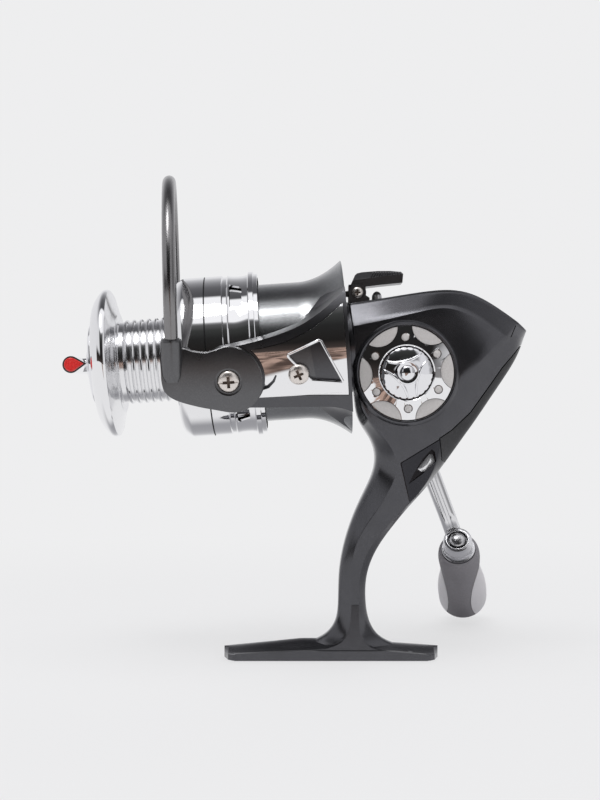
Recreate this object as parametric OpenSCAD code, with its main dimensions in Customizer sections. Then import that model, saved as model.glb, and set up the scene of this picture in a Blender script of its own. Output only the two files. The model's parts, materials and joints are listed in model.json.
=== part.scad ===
// Spinning reel with a front drag and a fold-down handle, 4000 size, in millimetres.
// Origin: middle of the foot's underside. +Z is up, the spool points to -X, the handle is on +Y.

/* [Layout] */
// Height of the spool axis above the foot's underside, over its middle
axis_z = 102.7; // [101.7:0.1:103.7]
// Rise of the spool axis towards the rear, in degrees
axis_tilt = 3.9; // [3.4:0.1:4.4]
// Turn of the rotor about the spool axis, in degrees
rotor_turn = 14.5; // [0:0.5:30]
// Drive axis behind the foot's middle, along the spool axis
drive_back = 23.4; // [23:0.1:24]
// Drive axis below the spool axis
drive_drop = 10.1; // [9.8:0.05:10.4]

/* [Foot and housing] */
// Length of the foot
foot_len = 71; // [66:0.5:76]
// Width of the foot
foot_w = 16; // [14:0.5:18]
// Thickness of the foot at its toes
toe_t = 4.1; // [3.4:0.1:4.8]
// Thickness of the stem, side to side
stem_w = 11.4; // [10:0.2:13]
// Width of the gear housing, side to side
body_w = 30.4; // [30:0.1:31.5]
// Front face of the gear housing, behind the foot's middle
body_front = 8; // [7.8:0.05:8.3]
// Rear tip of the gear housing
body_rear = 65.3; // [63:0.25:67]
// Half width of the gear chamber
chamber_y = 9.6; // [9.5:0.05:9.7]
// Depth of the rear trim strip
trim_t = 2.2; // [1.6:0.1:2.6]

/* [Side disc] */
// Radius of the chrome disc in the side recess
disc_r = 15.4; // [14.6:0.1:15.8]
// Thickness of the chrome disc
disc_t = 1.6; // [1.2:0.1:2]
// Radius of the screw cap in its middle
cap_r = 8.3; // [7.6:0.1:8.8]

/* [Spool] */
// Radius of the skirt's rear ridge
skirt_r = 27.2; // [26.9:0.05:27.4]
// Wall of the skirt
skirt_wall = 1.4; // [1:0.1:1.6]
// Length of the skirt, rear edge to line groove
skirt_len = 27.5; // [27:0.1:28]
// Radius of the line core
core_r = 13.5; // [13.2:0.1:14.5]
// Width of the line groove
line_w = 19.2; // [18.5:0.1:20]
// Radius of the front lip
lip_r = 24.5; // [23:0.1:25.5]
// Ribs round the line core
core_ribs = 7; // [3:1:9]
// Windows sunk into the skirt
skirt_windows = 4; // [3:1:6]
// Stroke of the spool
spool_stroke = 14; // [12:0.5:14]

/* [Shaft and drive] */
// Radius of the main shaft
shaft_r = 2.25; // [2:0.05:2.4]
// Radius of the drive shaft
drive_r = 4; // [3.8:0.05:4.2]
// Teeth of the drive gear
drive_teeth = 42; // [40:1:44]
// Teeth of the pinion
pinion_teeth = 8; // [7:1:9]
// Radius of the pinion's neck
neck_r = 4.5; // [4.3:0.05:4.6]
// Module of the oscillation gears
osc_module = 0.8; // [0.78:0.01:0.8]
// Clearance of running fits, on the radius
fit = 0.06; // [0.04:0.01:0.1]
// Gap between parts that only sit side by side
gap = 0.15; // [0.1:0.05:0.2]

/* [Rotor and bail] */
// Radius of the rotor cup
rotor_r = 22.7; // [22.2:0.1:23]
// Radius of the rotor's flared rear rim
rim_r = 29; // [28.4:0.1:29.6]
// Inner radius of the rotor arms
arm_in = 28.2; // [28:0.05:28.4]
// Outer radius of the rotor arms
arm_out = 34; // [33.6:0.1:34.2]
// Bail pivot in front of the foot's middle, along the spool axis
pivot_f = 33; // [32.5:0.1:33.5]
// Radius of the bail lever's round end
lever_r = 10.5; // [10:0.1:11]
// Thickness of the bail lever
lever_t = 4.6; // [4.2:0.1:4.8]
// Radius of the bail wire
wire_r = 2.1; // [1.6:0.1:2.3]
// Height of the hoop above the spool axis, to the wire's middle
hoop_h = 58.4; // [55:0.5:60]

/* [Handle] */
// Turn of the crank, in degrees below the horizontal rear
crank_turn = 69; // [60:1:80]
// Distance of the fold hinge from the middle plane
fold_y = 44; // [43:0.25:46]
// Distance of the knob spindle from the drive axis
boss_r = 66; // [62:0.5:68]
// Distance of the knob spindle's foot from the middle plane
boss_y = 47; // [46.5:0.25:50]
// Lean of the knob away from the drive axis, in degrees
knob_lean = 38; // [30:1:42]
// Turn of the knob's lean out of the arm's plane, in degrees
knob_skew = 8; // [0:1:10]
// Roll of the knob about its own spindle, in degrees
knob_roll = 11; // [-30:1:30]
// Length of the knob
knob_len = 37.4; // [34:0.2:39]
// Largest radius of the knob
knob_r = 9.2; // [8.6:0.1:9.8]
// Width of the handle arm
arm_w = 6.2; // [5.8:0.1:7]
// Thickness of the handle arm
arm_t = 5; // [4:0.1:5]

/* [Hidden] */
$fn = 64;
eps = 0.01;
far = 200;

// Drive axis in the part's frame
drive_x = drive_back * cos(axis_tilt) + drive_drop * sin(axis_tilt);
drive_z = axis_z + drive_back * sin(axis_tilt) - drive_drop * cos(axis_tilt);

// Face-gear mesh: radial teeth on the drive gear, a helical pinion that crosses above the drive axis
gear_ratio = drive_teeth / pinion_teeth;
mesh_k = 1.015;
pinion_r = 2 * mesh_k * drive_drop / gear_ratio;
mesh_f = drive_drop * (mesh_k - sqrt(mesh_k * mesh_k - 1));
mesh_r = sqrt(mesh_f * mesh_f + drive_drop * drive_drop);
pinion_twist = drive_drop / mesh_f / pinion_r * 180 / PI;
pinion_tip = pinion_r + 0.43;
pinion_root = pinion_r - 0.62;
pinion_teeth_len = 10;
pinion_back = -drive_back + mesh_f - pinion_teeth_len / 2;
pinion_front = 31;
gear_half = 1.5;
gear_out = mesh_r + gear_half;
gear_in = mesh_r - gear_half;
gear_face = pinion_r + 0.88;
gear_tip = pinion_r;
gear_t = 2.5;
gear_tooth_w = 0.55;
pinion_lag = 7;
mesh_angle = atan2(mesh_f * sin(axis_tilt) - drive_drop * cos(axis_tilt),
    -mesh_f * cos(axis_tilt) - drive_drop * sin(axis_tilt));

// Oscillation gears, the crank pin and the slider that it would push
osc_small = 15;
osc_large = 25;
osc_dist = osc_module * (osc_small + osc_large) / 2;
osc_angle = 5;
osc_from = -chamber_y + 0.4;
osc_t = 2.8;
osc_throw = spool_stroke / 2;
osc_pin_r = 1.4;
osc_x = drive_x + osc_dist * cos(osc_angle);
osc_z = drive_z + osc_dist * sin(osc_angle);
slot_x = osc_x - osc_throw;
slider_len = 6;
slider_f = -(slot_x * cos(axis_tilt) + (osc_z - axis_z) * sin(axis_tilt));
rod_up = 8.5;
rod_r = 1.5;
chamber_rear = 51.5;
chamber_front = 9.7;
rod_wall = 12.6;

// Bearings and the one-way clutch round the pinion's neck
bearing_out = 8.5;
bearing_t = 5;
bearing_f = -8;
clutch_f = bearing_f + bearing_t + 0.1;
clutch_len = 6.9;
clutch_ring_out = 11.4;
clutch_ring_in = 9.2;
cage_out = 8.9;
cage_in = 6.5;
roller_r = 1.05;
roller_count = 6;
tab_top = 15.6;
tab_w = 2.2;
collar_r = 14;
collar_f = clutch_f + clutch_len + 0.1;
retainer_t = 1.2;
drive_bearing_r = 7;
drive_bearing_t = 3.6;
side_out = chamber_y + 4.8;
cover_from = chamber_y - 0.9;
neck_out = 18.2;

// Spool stations along the axis, counted forward from the foot's middle
skirt_f = 22.9;
wall_t = 2;
groove_f = skirt_f + skirt_len;
lip_f = groove_f + line_w;
spool_front = lip_f + 7.4;
sleeve_r = 4;
stack_f = groove_f + 7.4;
felt_t = 1.2;
metal_t = 0.8;
washer_gap = 0.1;
stack_step = felt_t + metal_t + 2 * washer_gap;
stack_r = core_r - 1.9;
recess_r = 14.8;
knob_disc_r = 14;
knob_front = spool_front + 2.3;
wing_len = 27;

// Rotor stations
rotor_rear = -5;
flare_f = 10;
rotor_rim_f = 32.5;
rotor_wall_f = 25;
rotor_wall_t = 3;
cup_wall = 2;
pocket_r = arm_out - 1.6;
pivot_r = 2.2;
arm_end_r = 9.5;
lever_y = arm_out + 0.4;
hoop_r = 36.5;
hoop_f = pivot_f + 16.7;
hoop_foot = 10.5;
hoop_lean = 3.4;
hoop_skew = 3.2;
roller_f = pivot_f + 15;
roller_up = 2;
roller_out = 4.2;

// Handle
arm_rise = atan2(boss_y - fold_y, boss_r);
arm_len = norm([boss_y - fold_y, boss_r]);
fork_w = 3.6;
fork_t = 2.4;
knuckle_r = 5;
fold_pin_r = 1.6;
spindle_r = 2.5;
eye_r = 5.2;
eye_t = 2.6;
collar_t = 1.8;

// Anti-reverse lever hinge, in the part's frame
hinge_x = body_front + 0.6;
hinge_z = axis_z + 18.2;
knuckle = 2.9;
stop_back = 6.7;
stop_r = 1.7;

// Height, front edge, rear edge and half width of the housing, level by level. Its front leans with the rotor.
function front_at(up) = body_front - (up + 21) * tan(axis_tilt);
levels = [
    [toe_t - 1.4, -1.5, 17, stem_w / 2],
    [toe_t + 4.1, -0.5, 14.5, stem_w / 2],
    [toe_t + 8.6, 2.2, 12.2, stem_w / 2],
    [19.7, 2.4, 11.4, stem_w / 2],
    [32.2, 2.7, 12.7, stem_w / 2 + 0.6],
    [42.2, 5.3, 19.3, stem_w / 2 + 1.6],
    [54.2, 10.4, 29.7, stem_w / 2 + 3.6],
    [axis_z - 40.5, 13.8, body_rear - 29.3, body_w / 2 - 4],
    [axis_z - 35, 14.6, body_rear - 25.2, body_w / 2 - 2.6],
    [axis_z - 30, 12.8, body_rear - 21.4, body_w / 2 - 1.5],
    [axis_z - 24.5, 8.9, body_rear - 17.4, body_w / 2 - 0.7],
    [axis_z - 21, front_at(-21), body_rear - 15, body_w / 2 - 0.3],
    [axis_z - 9, front_at(-9), body_rear - 6.9, body_w / 2],
    [axis_z - 0.5, front_at(-0.5), body_rear - 1.6, body_w / 2],
    [axis_z + 3.5, front_at(3.5), body_rear, body_w / 2 - 0.4],
    [axis_z + 7.5, front_at(7.5), body_rear - 2.3, body_w / 2 - 1.2],
    [axis_z + 11.5, front_at(11.5), body_rear - 7.6, body_w / 2 - 2.4],
    [axis_z + 15.3, front_at(15.3), body_rear - 12.6, body_w / 2 - 4.2],
    [axis_z + 17.5, 22.7, body_rear - 15.6, body_w / 2 - 6],
    [axis_z + 19.6, 37, body_rear - 20.8, body_w / 2 - 9.5],
];
level_points = 28;
front_power = 5;
rear_power = 2.2;
cover_low = axis_z - 30;

// Rear trim: a strip along the straight lower rear edge
trim_top = [body_rear - 1.4, axis_z - 1.5];
trim_low = [body_rear - 20.7, axis_z - 30];

function power(v, n) = sign(v) * pow(abs(v), 2 / n);
function level_ring(l) = [
    for (i = [0:level_points - 1])
        let (a = 360 * i / level_points, n = cos(a) < 0 ? front_power : rear_power)
        [(l[1] + l[2]) / 2 + (l[2] - l[1]) / 2 * power(cos(a), n), l[3] * power(sin(a), n), l[0]]
];

// Frames: the spool axis (x up, y away, z forward), the turned rotor, the drive axis and the crank
module on_axis() { translate([0, 0, axis_z]) rotate([0, -90 - axis_tilt, 0]) children(); }
module on_rotor() { on_axis() rotate([0, 0, -rotor_turn]) children(); }
module on_drive() { translate([drive_x, 0, drive_z]) rotate([-90, 0, 0]) children(); }
module on_osc() { translate([osc_x, 0, osc_z]) rotate([-90, 0, 0]) children(); }
module on_crank() { on_drive() rotate([0, 0, crank_turn]) children(); }
module on_arm() { on_crank() translate([0, 0, fold_y]) rotate([0, -arm_rise, 0]) children(); }
module on_knob() {
    on_crank() translate([boss_r, 0, boss_y]) rotate([0, 0, knob_skew]) rotate([0, knob_lean, 0]) children();
}
module on_hoop() {
    on_rotor() translate([hoop_foot, 0, hoop_f + hoop_r * sin(hoop_skew)])
        rotate([hoop_skew, hoop_lean, 0]) children();
}

// A rod or a ring along z, and a slab of a side view drawn as (forward, up) on the rotor or (X, Z)
module rod(r, from, to) { translate([0, 0, from]) cylinder(r = r, h = to - from); }
module ring(outer, inner, from, to) {
    difference() {
        rod(outer, from, to);
        rod(inner, from - 1, to + 1);
    }
}
module side_slab(from, to) {
    rotate([-90, 0, 0]) rotate([0, 0, -90]) translate([0, 0, from]) linear_extrude(to - from) children();
}
module side_plate(from, to) {
    rotate([90, 0, 0]) translate([0, 0, -to]) linear_extrude(to - from) children();
}
module tip_slab(x, from, to) { translate([x, 0, 0]) side_slab(from, to) children(); }

// Spur gear outline with straight flanks
module spur(teeth, tip = 0.8, root = 1.15, half = 0.21) {
    pitch = osc_module * teeth / 2;
    base = pitch - root * osc_module;
    top = pitch + tip * osc_module;
    at_pitch = half * PI * osc_module;
    slope = tan(20);
    low = at_pitch + (pitch - base) * slope;
    high = at_pitch - (top - pitch) * slope;
    union() {
        circle(r = base + eps);
        for (i = [0:teeth - 1])
            rotate(360 * i / teeth)
                polygon([[base - 0.3, -low], [top, -high], [top, high], [base - 0.3, low]]);
    }
}

// Outer form of the housing, stem and side cover before they are cut apart
module body_form() {
    rings = [for (l = levels) level_ring(l)];
    points = [for (r = rings, p = r) p];
    n = level_points;
    last = len(levels) - 1;
    walls = [
        for (k = [0:last - 1], i = [0:n - 1], half = [0, 1])
            let (j = (i + 1) % n)
            half == 0 ? [k * n + i, (k + 1) * n + i, (k + 1) * n + j] : [k * n + i, (k + 1) * n + j, k * n + j]
    ];
    floor_face = [for (i = [0:n - 1]) i];
    top_face = [for (i = [0:n - 1]) last * n + n - 1 - i];
    polyhedron(points, concat(walls, [floor_face, top_face]), convexity = 6);
}

// Foot: a low ridge in side view, rounded toes in plan
module foot_form() {
    half = foot_len / 2;
    intersection() {
        side_plate(-foot_w, foot_w)
            polygon([
                [-half, 0], [half, 0], [half, toe_t - 2], [half - 0.8, toe_t], [19, toe_t + 2],
                [15, toe_t + 4], [-1, toe_t + 4], [-12, toe_t + 2], [0.8 - half, toe_t], [-half, toe_t - 2]
            ]);
        union() {
            translate([foot_w / 2 - half, -foot_w / 2, -1]) cube([foot_len - foot_w, foot_w, 30]);
            for (s = [-1, 1]) translate([s * (half - foot_w / 2), 0, -1]) cylinder(d = foot_w, h = 30);
        }
    }
}

// Gear chamber: round about the drive axis and the oscillation gear, long about the slider
module chamber() {
    on_drive() rod(gear_out + 0.6, -chamber_y, chamber_y);
    on_osc() rod(osc_module * osc_large / 2 + 1.5, -chamber_y, 4.6);
    on_axis() translate([-19, -5.2, -chamber_rear]) cube([25.2, 10.4, chamber_rear - chamber_front]);
    on_axis() translate([6, -5.2, -chamber_rear]) cube([5.6, 10.4, chamber_rear - rod_wall]);
}

module rear_cut() {
    side_plate(-far, far)
        polygon([
            trim_top + [-trim_t, trim_t * 0.4], trim_low + [-trim_t, trim_t * 0.4],
            trim_low + [6, -8], trim_top + [14, 0]
        ]);
}
module cover_cut() {
    translate([-far, cover_from, cover_low]) cube([2 * far, far, far]);
}
module cover_screw_places() {
    for (p = [
        [12.5, axis_z + 8.5], [body_rear - 17.3, axis_z + 8], [body_rear - 26.3, axis_z - 24],
        [15.5, axis_z - 24.5]
    ])
        translate([p[0], 0, p[1]]) rotate([-90, 0, 0]) children();
}
module gem_cut() {
    side_plate(-far, -7.6)
        polygon([
            [body_rear - 33.2, axis_z - 33.5], [body_rear - 31.1, axis_z - 37.4],
            [body_rear - 40.1, axis_z - 44.6]
        ]);
}

module gear_housing() color([0.1, 0.1, 0.12]) {
    difference() {
        union() {
            body_form();
            foot_form();
            on_axis() rod(collar_r + 1, -chamber_front, -6.2);
            on_axis() rod(collar_r, -chamber_front, collar_f);
            on_drive() rod(disc_r + 1.8, -side_out - 1.8, -chamber_y - 1);
        }
        cover_cut();
        rear_cut();
        gem_cut();
        chamber();
        on_axis() rod(neck_r + 0.7, -chamber_front - 1, collar_f + 1);
        on_axis() rod(bearing_out + 0.05, bearing_f, collar_f + 1);
        on_axis() rod(clutch_ring_out + 0.05, clutch_f, collar_f + 1);
        on_axis() translate([0, -3.6, clutch_f + 2.2]) cube([collar_r + 1, 7.2, collar_f]);
        on_axis() for (i = [0:2]) rotate(60 + 120 * i) translate([12.7, 0, 0]) rod(0.85, 0, far);
        on_axis() translate([rod_up, 0, 0]) rod(rod_r + 0.05, -chamber_rear - 1.5, -chamber_front - 0.8);
        on_drive() rod(drive_bearing_r + 0.05, -chamber_y - drive_bearing_t, 0);
        on_drive() rod(drive_r + 0.4, -far, 0);
        on_drive() rod(disc_r + gap, -far, -side_out);
        on_osc() rod(2, -side_out + 1, 0);
        cover_screw_places() rod(1.25, 5.8, far);
        translate([hinge_x - 5, -5.6, axis_z + 13.6]) cube([9.6, 11.2, 30]);
        translate([hinge_x + stop_back, 0, axis_z + 14]) cylinder(r = stop_r + 0.05, h = 20);
    }
}

module side_cover() color([0.1, 0.1, 0.12]) {
    difference() {
        union() {
            intersection() {
                body_form();
                translate([-far, cover_from + eps, cover_low + gap]) cube([2 * far, far, far]);
            }
            on_drive() rod(drive_bearing_r + 1.6, chamber_y, neck_out);
        }
        rear_cut();
        chamber();
        on_drive() rod(drive_bearing_r + 0.05, 0, chamber_y + drive_bearing_t);
        on_drive() rod(drive_r + 0.4, 0, far);
        cover_screw_places() rod(1.4, 0, far);
        cover_screw_places() rod(2.5, chamber_y + 0.8, far);
    }
}

module cover_screws() color("silver") {
    cover_screw_places() {
        difference() {
            union() {
                rod(1.2, 6, chamber_y + 1.2);
                rod(2.4, chamber_y + 0.85, chamber_y + 2.4);
            }
            for (a = [0, 90]) rotate(a) translate([-1.4, -0.3, chamber_y + 1.6]) cube([2.8, 0.6, 2]);
        }
    }
}

module rear_trim() color([0.13, 0.13, 0.15]) {
    intersection() {
        body_form();
        translate([trim_t * 0.05, 0, -trim_t * 0.03]) rear_cut();
    }
}

module stem_gem() color("gainsboro") {
    side_plate(-10.4, -7.6 - eps)
        polygon([
            [body_rear - 36.9, axis_z - 40.6], [body_rear - 33.3, axis_z - 34.8],
            [body_rear - 31.9, axis_z - 36.6], [body_rear - 32.7, axis_z - 38.2]
        ]);
}

// Side disc: a star plate whose rim is bitten by six pads
pad_at = disc_r + 1.9;
pad_r = 6.36;
stud_at = 11.5;
module disc_places() { for (i = [0:5]) rotate(60 * i) children(); }
module disc_plate() color("gainsboro") {
    on_drive() difference() {
        rod(disc_r, -side_out - disc_t, -side_out - eps);
        rod(cap_r + 0.3, -far, 0);
        disc_places() translate([pad_at, 0, 0]) rod(pad_r, -far, 0);
        disc_places() rotate(30) translate([stud_at, 0, 0]) rod(1.15, -far, 0);
    }
}
module disc_pads() color("darkgray") {
    on_drive() disc_places() intersection() {
        rod(disc_r - 0.05, -side_out - disc_t + 0.4, -side_out - eps);
        translate([pad_at, 0, 0]) rod(pad_r - 0.05, -far, 0);
    }
}
module disc_studs() color("gray") {
    on_drive() disc_places() rotate(30) translate([stud_at, 0, 0])
        rod(1.1, -side_out - disc_t - 0.3, -side_out - eps);
}

module ball_bearing(outer, inner, from, to) {
    mid = (outer + inner) / 2;
    land = (outer - inner) / 5;
    difference() {
        ring(outer, inner, from, to);
        ring(mid + land, mid - land, from - 1, from + 0.5);
        ring(mid + land, mid - land, to - 0.5, to + 1);
    }
}
module front_bearing() color("silver") {
    on_axis() ball_bearing(bearing_out, neck_r + fit, bearing_f, bearing_f + bearing_t);
}
module bearing_retainer() color("silver") {
    on_axis() difference() {
        ring(collar_r - 0.2, cage_in, collar_f + eps, collar_f + retainer_t);
        for (i = [0:2]) rotate(60 + 120 * i) translate([12.7, 0, 0]) rod(0.95, 0, far);
    }
}
module retainer_screws() color("silver") {
    on_axis() for (i = [0:2]) rotate(60 + 120 * i) translate([12.7, 0, 0]) {
        rod(0.8, 0.4, collar_f + retainer_t + eps);
        rod(1.2, collar_f + retainer_t + eps, collar_f + retainer_t + 0.9);
    }
}
module clutch_ring() color("silver") {
    on_axis() difference() {
        ring(clutch_ring_out, clutch_ring_in, clutch_f, clutch_f + clutch_len);
        translate([0, -3.4, clutch_f + 2.4]) cube([20, 6.8, 20]);
    }
}
module clutch_places() { for (i = [0:roller_count - 1]) rotate(30 + 360 * i / roller_count) children(); }
module clutch_cage() color("dimgray") {
    mid = (cage_out + cage_in) / 2;
    on_axis() union() {
        difference() {
            ring(cage_out, cage_in, clutch_f + 0.3, clutch_f + clutch_len - 0.3);
            clutch_places() translate([mid, 0, 0]) rod(roller_r + fit, -far, far);
        }
        translate([cage_out - 0.6, -tab_w / 2, clutch_f + 3]) cube([tab_top - cage_out + 0.6, tab_w, 2.4]);
    }
}
module clutch_rollers() color("silver") {
    on_axis() clutch_places() translate([(cage_out + cage_in) / 2, 0, 0])
        rod(roller_r, clutch_f + 0.3, clutch_f + clutch_len - 0.3);
}
module clutch_sleeve() color("silver") {
    on_axis() ring(cage_in - 0.25, neck_r + 0.02, clutch_f, collar_f + retainer_t);
}

module drive_bearing_near() color("silver") {
    on_drive() ball_bearing(drive_bearing_r, drive_r + fit, -chamber_y - drive_bearing_t, -chamber_y);
}
module drive_bearing_far() color("silver") {
    on_drive() ball_bearing(drive_bearing_r, drive_r + fit, chamber_y, chamber_y + drive_bearing_t);
}
module oscillation_post() color("silver") {
    on_osc() rod(1.98, -side_out + 1.1, osc_from + osc_t + 0.3);
}
module slider_rod() color("silver") {
    on_axis() translate([rod_up, 0, 0]) rod(rod_r, -chamber_rear - 1.4, -chamber_front - 1);
}

// Anti-reverse lever: bracket, cross screw, stop and the lever with its thumb pad and finger
module at_hinge() { translate([hinge_x, 0, hinge_z]) children(); }
module lever_bracket() color([0.1, 0.1, 0.12]) {
    difference() {
        union() {
            translate([hinge_x - 2.35, -5.5, axis_z + 13.65]) cube([6.9, 11, 1.3]);
            for (s = [-1, 1]) translate([0, s * 4.4, 0]) at_hinge() rotate([90, 0, 0])
                translate([0, 0, -1.1]) cylinder(r = knuckle, h = 2.2);
            for (s = [-1, 1]) translate([hinge_x - 2.35, s * 4.4 - 1.1, axis_z + 13.65]) cube([4.7, 2.2, 4.4]);
        }
        at_hinge() rotate([90, 0, 0]) translate([0, 0, -far]) cylinder(r = 1.35, h = 2 * far);
        at_hinge() rotate([90, 0, 0]) translate([0, 0, 5]) cylinder(r = 2.1, h = 2);
    }
}
module lever_screw() color("silver") {
    at_hinge() rotate([90, 0, 0]) {
        translate([0, 0, -5.5]) cylinder(r = 1.3, h = 11);
        translate([0, 0, 5.05]) cylinder(r = 2, h = 1.1);
    }
}
module lever_stop() color("silver") {
    translate([hinge_x + stop_back, 0, axis_z + 14.1]) {
        cylinder(r = stop_r, h = 3.2);
        translate([0, 0, 3.2]) sphere(r = stop_r);
    }
}
module anti_reverse_lever() color([0.12, 0.12, 0.13]) {
    difference() {
        union() {
            at_hinge() rotate([90, 0, 0]) translate([0, 0, -3.1]) cylinder(r = knuckle, h = 6.2);
            side_plate(-3.1, 3.1)
                polygon([
                    [hinge_x - 2.9, hinge_z], [hinge_x - 2.3, hinge_z + 5.4], [hinge_x - 1, hinge_z + 6.7],
                    [hinge_x + 5, hinge_z + 7], [hinge_x + 5.4, hinge_z + 2.4], [hinge_x + 2.9, hinge_z]
                ]);
            side_plate(-4.4, 4.4)
                polygon([
                    [hinge_x + 1, hinge_z + 6.8], [hinge_x + 7, hinge_z + 7.4], [hinge_x + 14.6, hinge_z + 7],
                    [hinge_x + 15.2, hinge_z + 6.2], [hinge_x + 14.9, hinge_z + 3.2], [hinge_x + 5, hinge_z + 2.2]
                ]);
            side_plate(-1.2, 1.2)
                polygon([
                    [hinge_x - 2, hinge_z - 1], [hinge_x - 9.8, hinge_z - 1.6], [hinge_x - 9.8, hinge_z - 0.2],
                    [hinge_x - 2, hinge_z + 1]
                ]);
        }
        at_hinge() rotate([90, 0, 0]) translate([0, 0, -far]) cylinder(r = 1.3 + fit, h = 2 * far);
        for (i = [0:4]) translate([hinge_x + 6.4 + 1.7 * i, -far, hinge_z + 7.05]) cube([0.8, 2 * far, 2]);
    }
}

// Drive train
module drive_gear() color("goldenrod") {
    step = 360 / drive_teeth;
    on_drive() difference() {
        union() {
            rod(gear_out, gear_face, gear_face + gear_t);
            rod(drive_r + 2.2, gear_face - 1.6, chamber_y - 0.2);
            rotate(mesh_angle + step / 2) for (i = [0:drive_teeth - 1]) rotate(step * i)
                translate([gear_in, -gear_tooth_w / 2, gear_tip])
                    cube([2 * gear_half - 0.1, gear_tooth_w, gear_face - gear_tip + 0.1]);
        }
        rod(drive_r + 0.01, -far, far);
    }
}
module drive_shaft() color("silver") {
    on_drive() ring(drive_r, 2, -chamber_y - drive_bearing_t + 0.1, neck_out + 1.2);
}
module oscillation_pinion() color("goldenrod") {
    on_drive() difference() {
        translate([0, 0, osc_from]) linear_extrude(osc_t) rotate(-osc_angle) spur(osc_small);
        rod(drive_r + 0.01, -far, far);
    }
}
module oscillation_gear() color("ivory") {
    half_tooth = 180 / osc_large;
    on_osc() union() {
        difference() {
            translate([0, 0, osc_from]) linear_extrude(osc_t)
                rotate(180 - osc_angle + half_tooth) spur(osc_large);
            rod(1.98 + fit, -far, far);
        }
        rotate(180) translate([osc_throw, 0, 0]) rod(osc_pin_r, osc_from + osc_t - 0.5, osc_from + osc_t + 1.1);
    }
}
module handle_screw() color("silver") {
    on_drive() {
        rod(1.9, -side_out - 2, fold_y - 9);
        rod(2.6, -side_out - 2.9, -side_out - 2);
    }
}
module handle_cap() color("gainsboro") {
    on_drive() difference() {
        union() {
            rotate_extrude() polygon([
                [0, -side_out - 0.3], [cap_r - 0.6, -side_out - 0.3], [cap_r, -side_out - 0.8],
                [cap_r, -side_out - 2.2], [cap_r - 1.4, -side_out - 3], [4, -side_out - 3.6],
                [3.6, -side_out - 4.6], [2.4, -side_out - 5.1], [0, -side_out - 5.3]
            ]);
            rod(drive_r, -side_out - 0.4, -chamber_y - drive_bearing_t);
        }
        rod(1.95, -side_out - 2, 0);
        rod(2.65, -side_out - 2.95, -side_out - 1.9);
        for (i = [0:23]) rotate(15 * i) translate([cap_r + 0.25, 0, 0]) rod(0.5, -far, 0);
    }
}
module handle_fork() color("silver") {
    on_crank() difference() {
        union() {
            rod(6.2, neck_out + 0.3, fold_y - knuckle_r - 0.6);
            for (s = [-1, 1]) translate([0, s * (fork_w + fork_t / 2), 0]) {
                translate([-4.6, -fork_t / 2, fold_y - knuckle_r - 3]) cube([9.2, fork_t, knuckle_r + 3]);
                translate([0, 0, fold_y]) rotate([90, 0, 0]) translate([0, 0, -fork_t / 2])
                    cylinder(r = 4.6, h = fork_t);
            }
        }
        rod(drive_r + 0.01, 0, neck_out + 1.25);
        rod(1.95, 0, fold_y - 8.9);
        translate([0, 0, fold_y]) rotate([90, 0, 0]) translate([0, 0, -far]) cylinder(r = fold_pin_r + 0.01, h = 2 * far);
    }
}
module fold_pin() color("silver") {
    reach = fork_w + fork_t + 0.5;
    on_crank() translate([0, 0, fold_y]) rotate([90, 0, 0]) translate([0, 0, -reach])
        cylinder(r = fold_pin_r, h = 2 * reach);
}
module handle_arm() color("gainsboro") {
    difference() {
        union() {
            on_arm() rotate([90, 0, 0]) translate([0, 0, gap - fork_w])
                cylinder(r = knuckle_r - 0.2, h = 2 * (fork_w - gap));
            on_arm() translate([0, gap - fork_w, -arm_t / 2]) cube([9, 2 * (fork_w - gap), arm_t]);
            on_arm() linear_extrude(arm_t, center = true) polygon([
                [7, -arm_w / 2], [arm_len - 3, -arm_w / 2 + 0.4], [arm_len - 3, arm_w / 2 - 0.4], [7, arm_w / 2]
            ]);
            on_knob() rod(eye_r, -eye_t, eye_t);
        }
        on_arm() rotate([90, 0, 0]) translate([0, 0, -far]) cylinder(r = fold_pin_r + fit, h = 2 * far);
        on_knob() rod(spindle_r + 0.01, -far, far);
        on_knob() rod(eye_r + 4, eye_t, far);
        on_knob() rod(eye_r + 0.01, -far, -eye_t);
    }
}
module knob_spindle() color("silver") {
    on_knob() {
        rod(spindle_r, -eye_t, knob_len - 6);
        intersection() {
            rod(3.2, -eye_t - 3, -eye_t);
            translate([0, 0, 3.8 - eye_t]) sphere(r = 5);
        }
    }
}
module knob_collar() color("gainsboro") {
    on_knob() ring(6.2, spindle_r + 0.01, eye_t + eps, eye_t + collar_t);
}
module knob_form() {
    from = eye_t + collar_t + 0.2;
    rotate_extrude() polygon([
        [0, from], [6.2, from], [7.2, from + 1], [knob_r - 1.5, from + 4], [knob_r - 1.6, from + 8],
        [knob_r - 1.9, from + 11.5], [knob_r - 1.4, from + 16], [knob_r - 0.4, from + 22], [knob_r, from + 27],
        [knob_r - 0.5, from + knob_len - 5], [knob_r - 2.2, from + knob_len - 2],
        [knob_r - 5.4, from + knob_len - 0.4], [0, from + knob_len]
    ]);
}
module panel_cuts(shrink) {
    for (s = [-1, 1]) rotate(knob_roll) translate([0, s * (knob_r + 9), knob_len - 8]) rotate([0, 90, 0])
        translate([0, 0, -far]) cylinder(r = 13.5 - shrink, h = 2 * far);
}
module knob_core() color([0.22, 0.22, 0.24]) {
    on_knob() difference() {
        knob_form();
        panel_cuts(0);
        rod(spindle_r + fit, 0, knob_len - 5.7);
    }
}
module knob_panels() color([0.62, 0.62, 0.65]) {
    on_knob() intersection() {
        knob_form();
        panel_cuts(0.05);
    }
}

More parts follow.
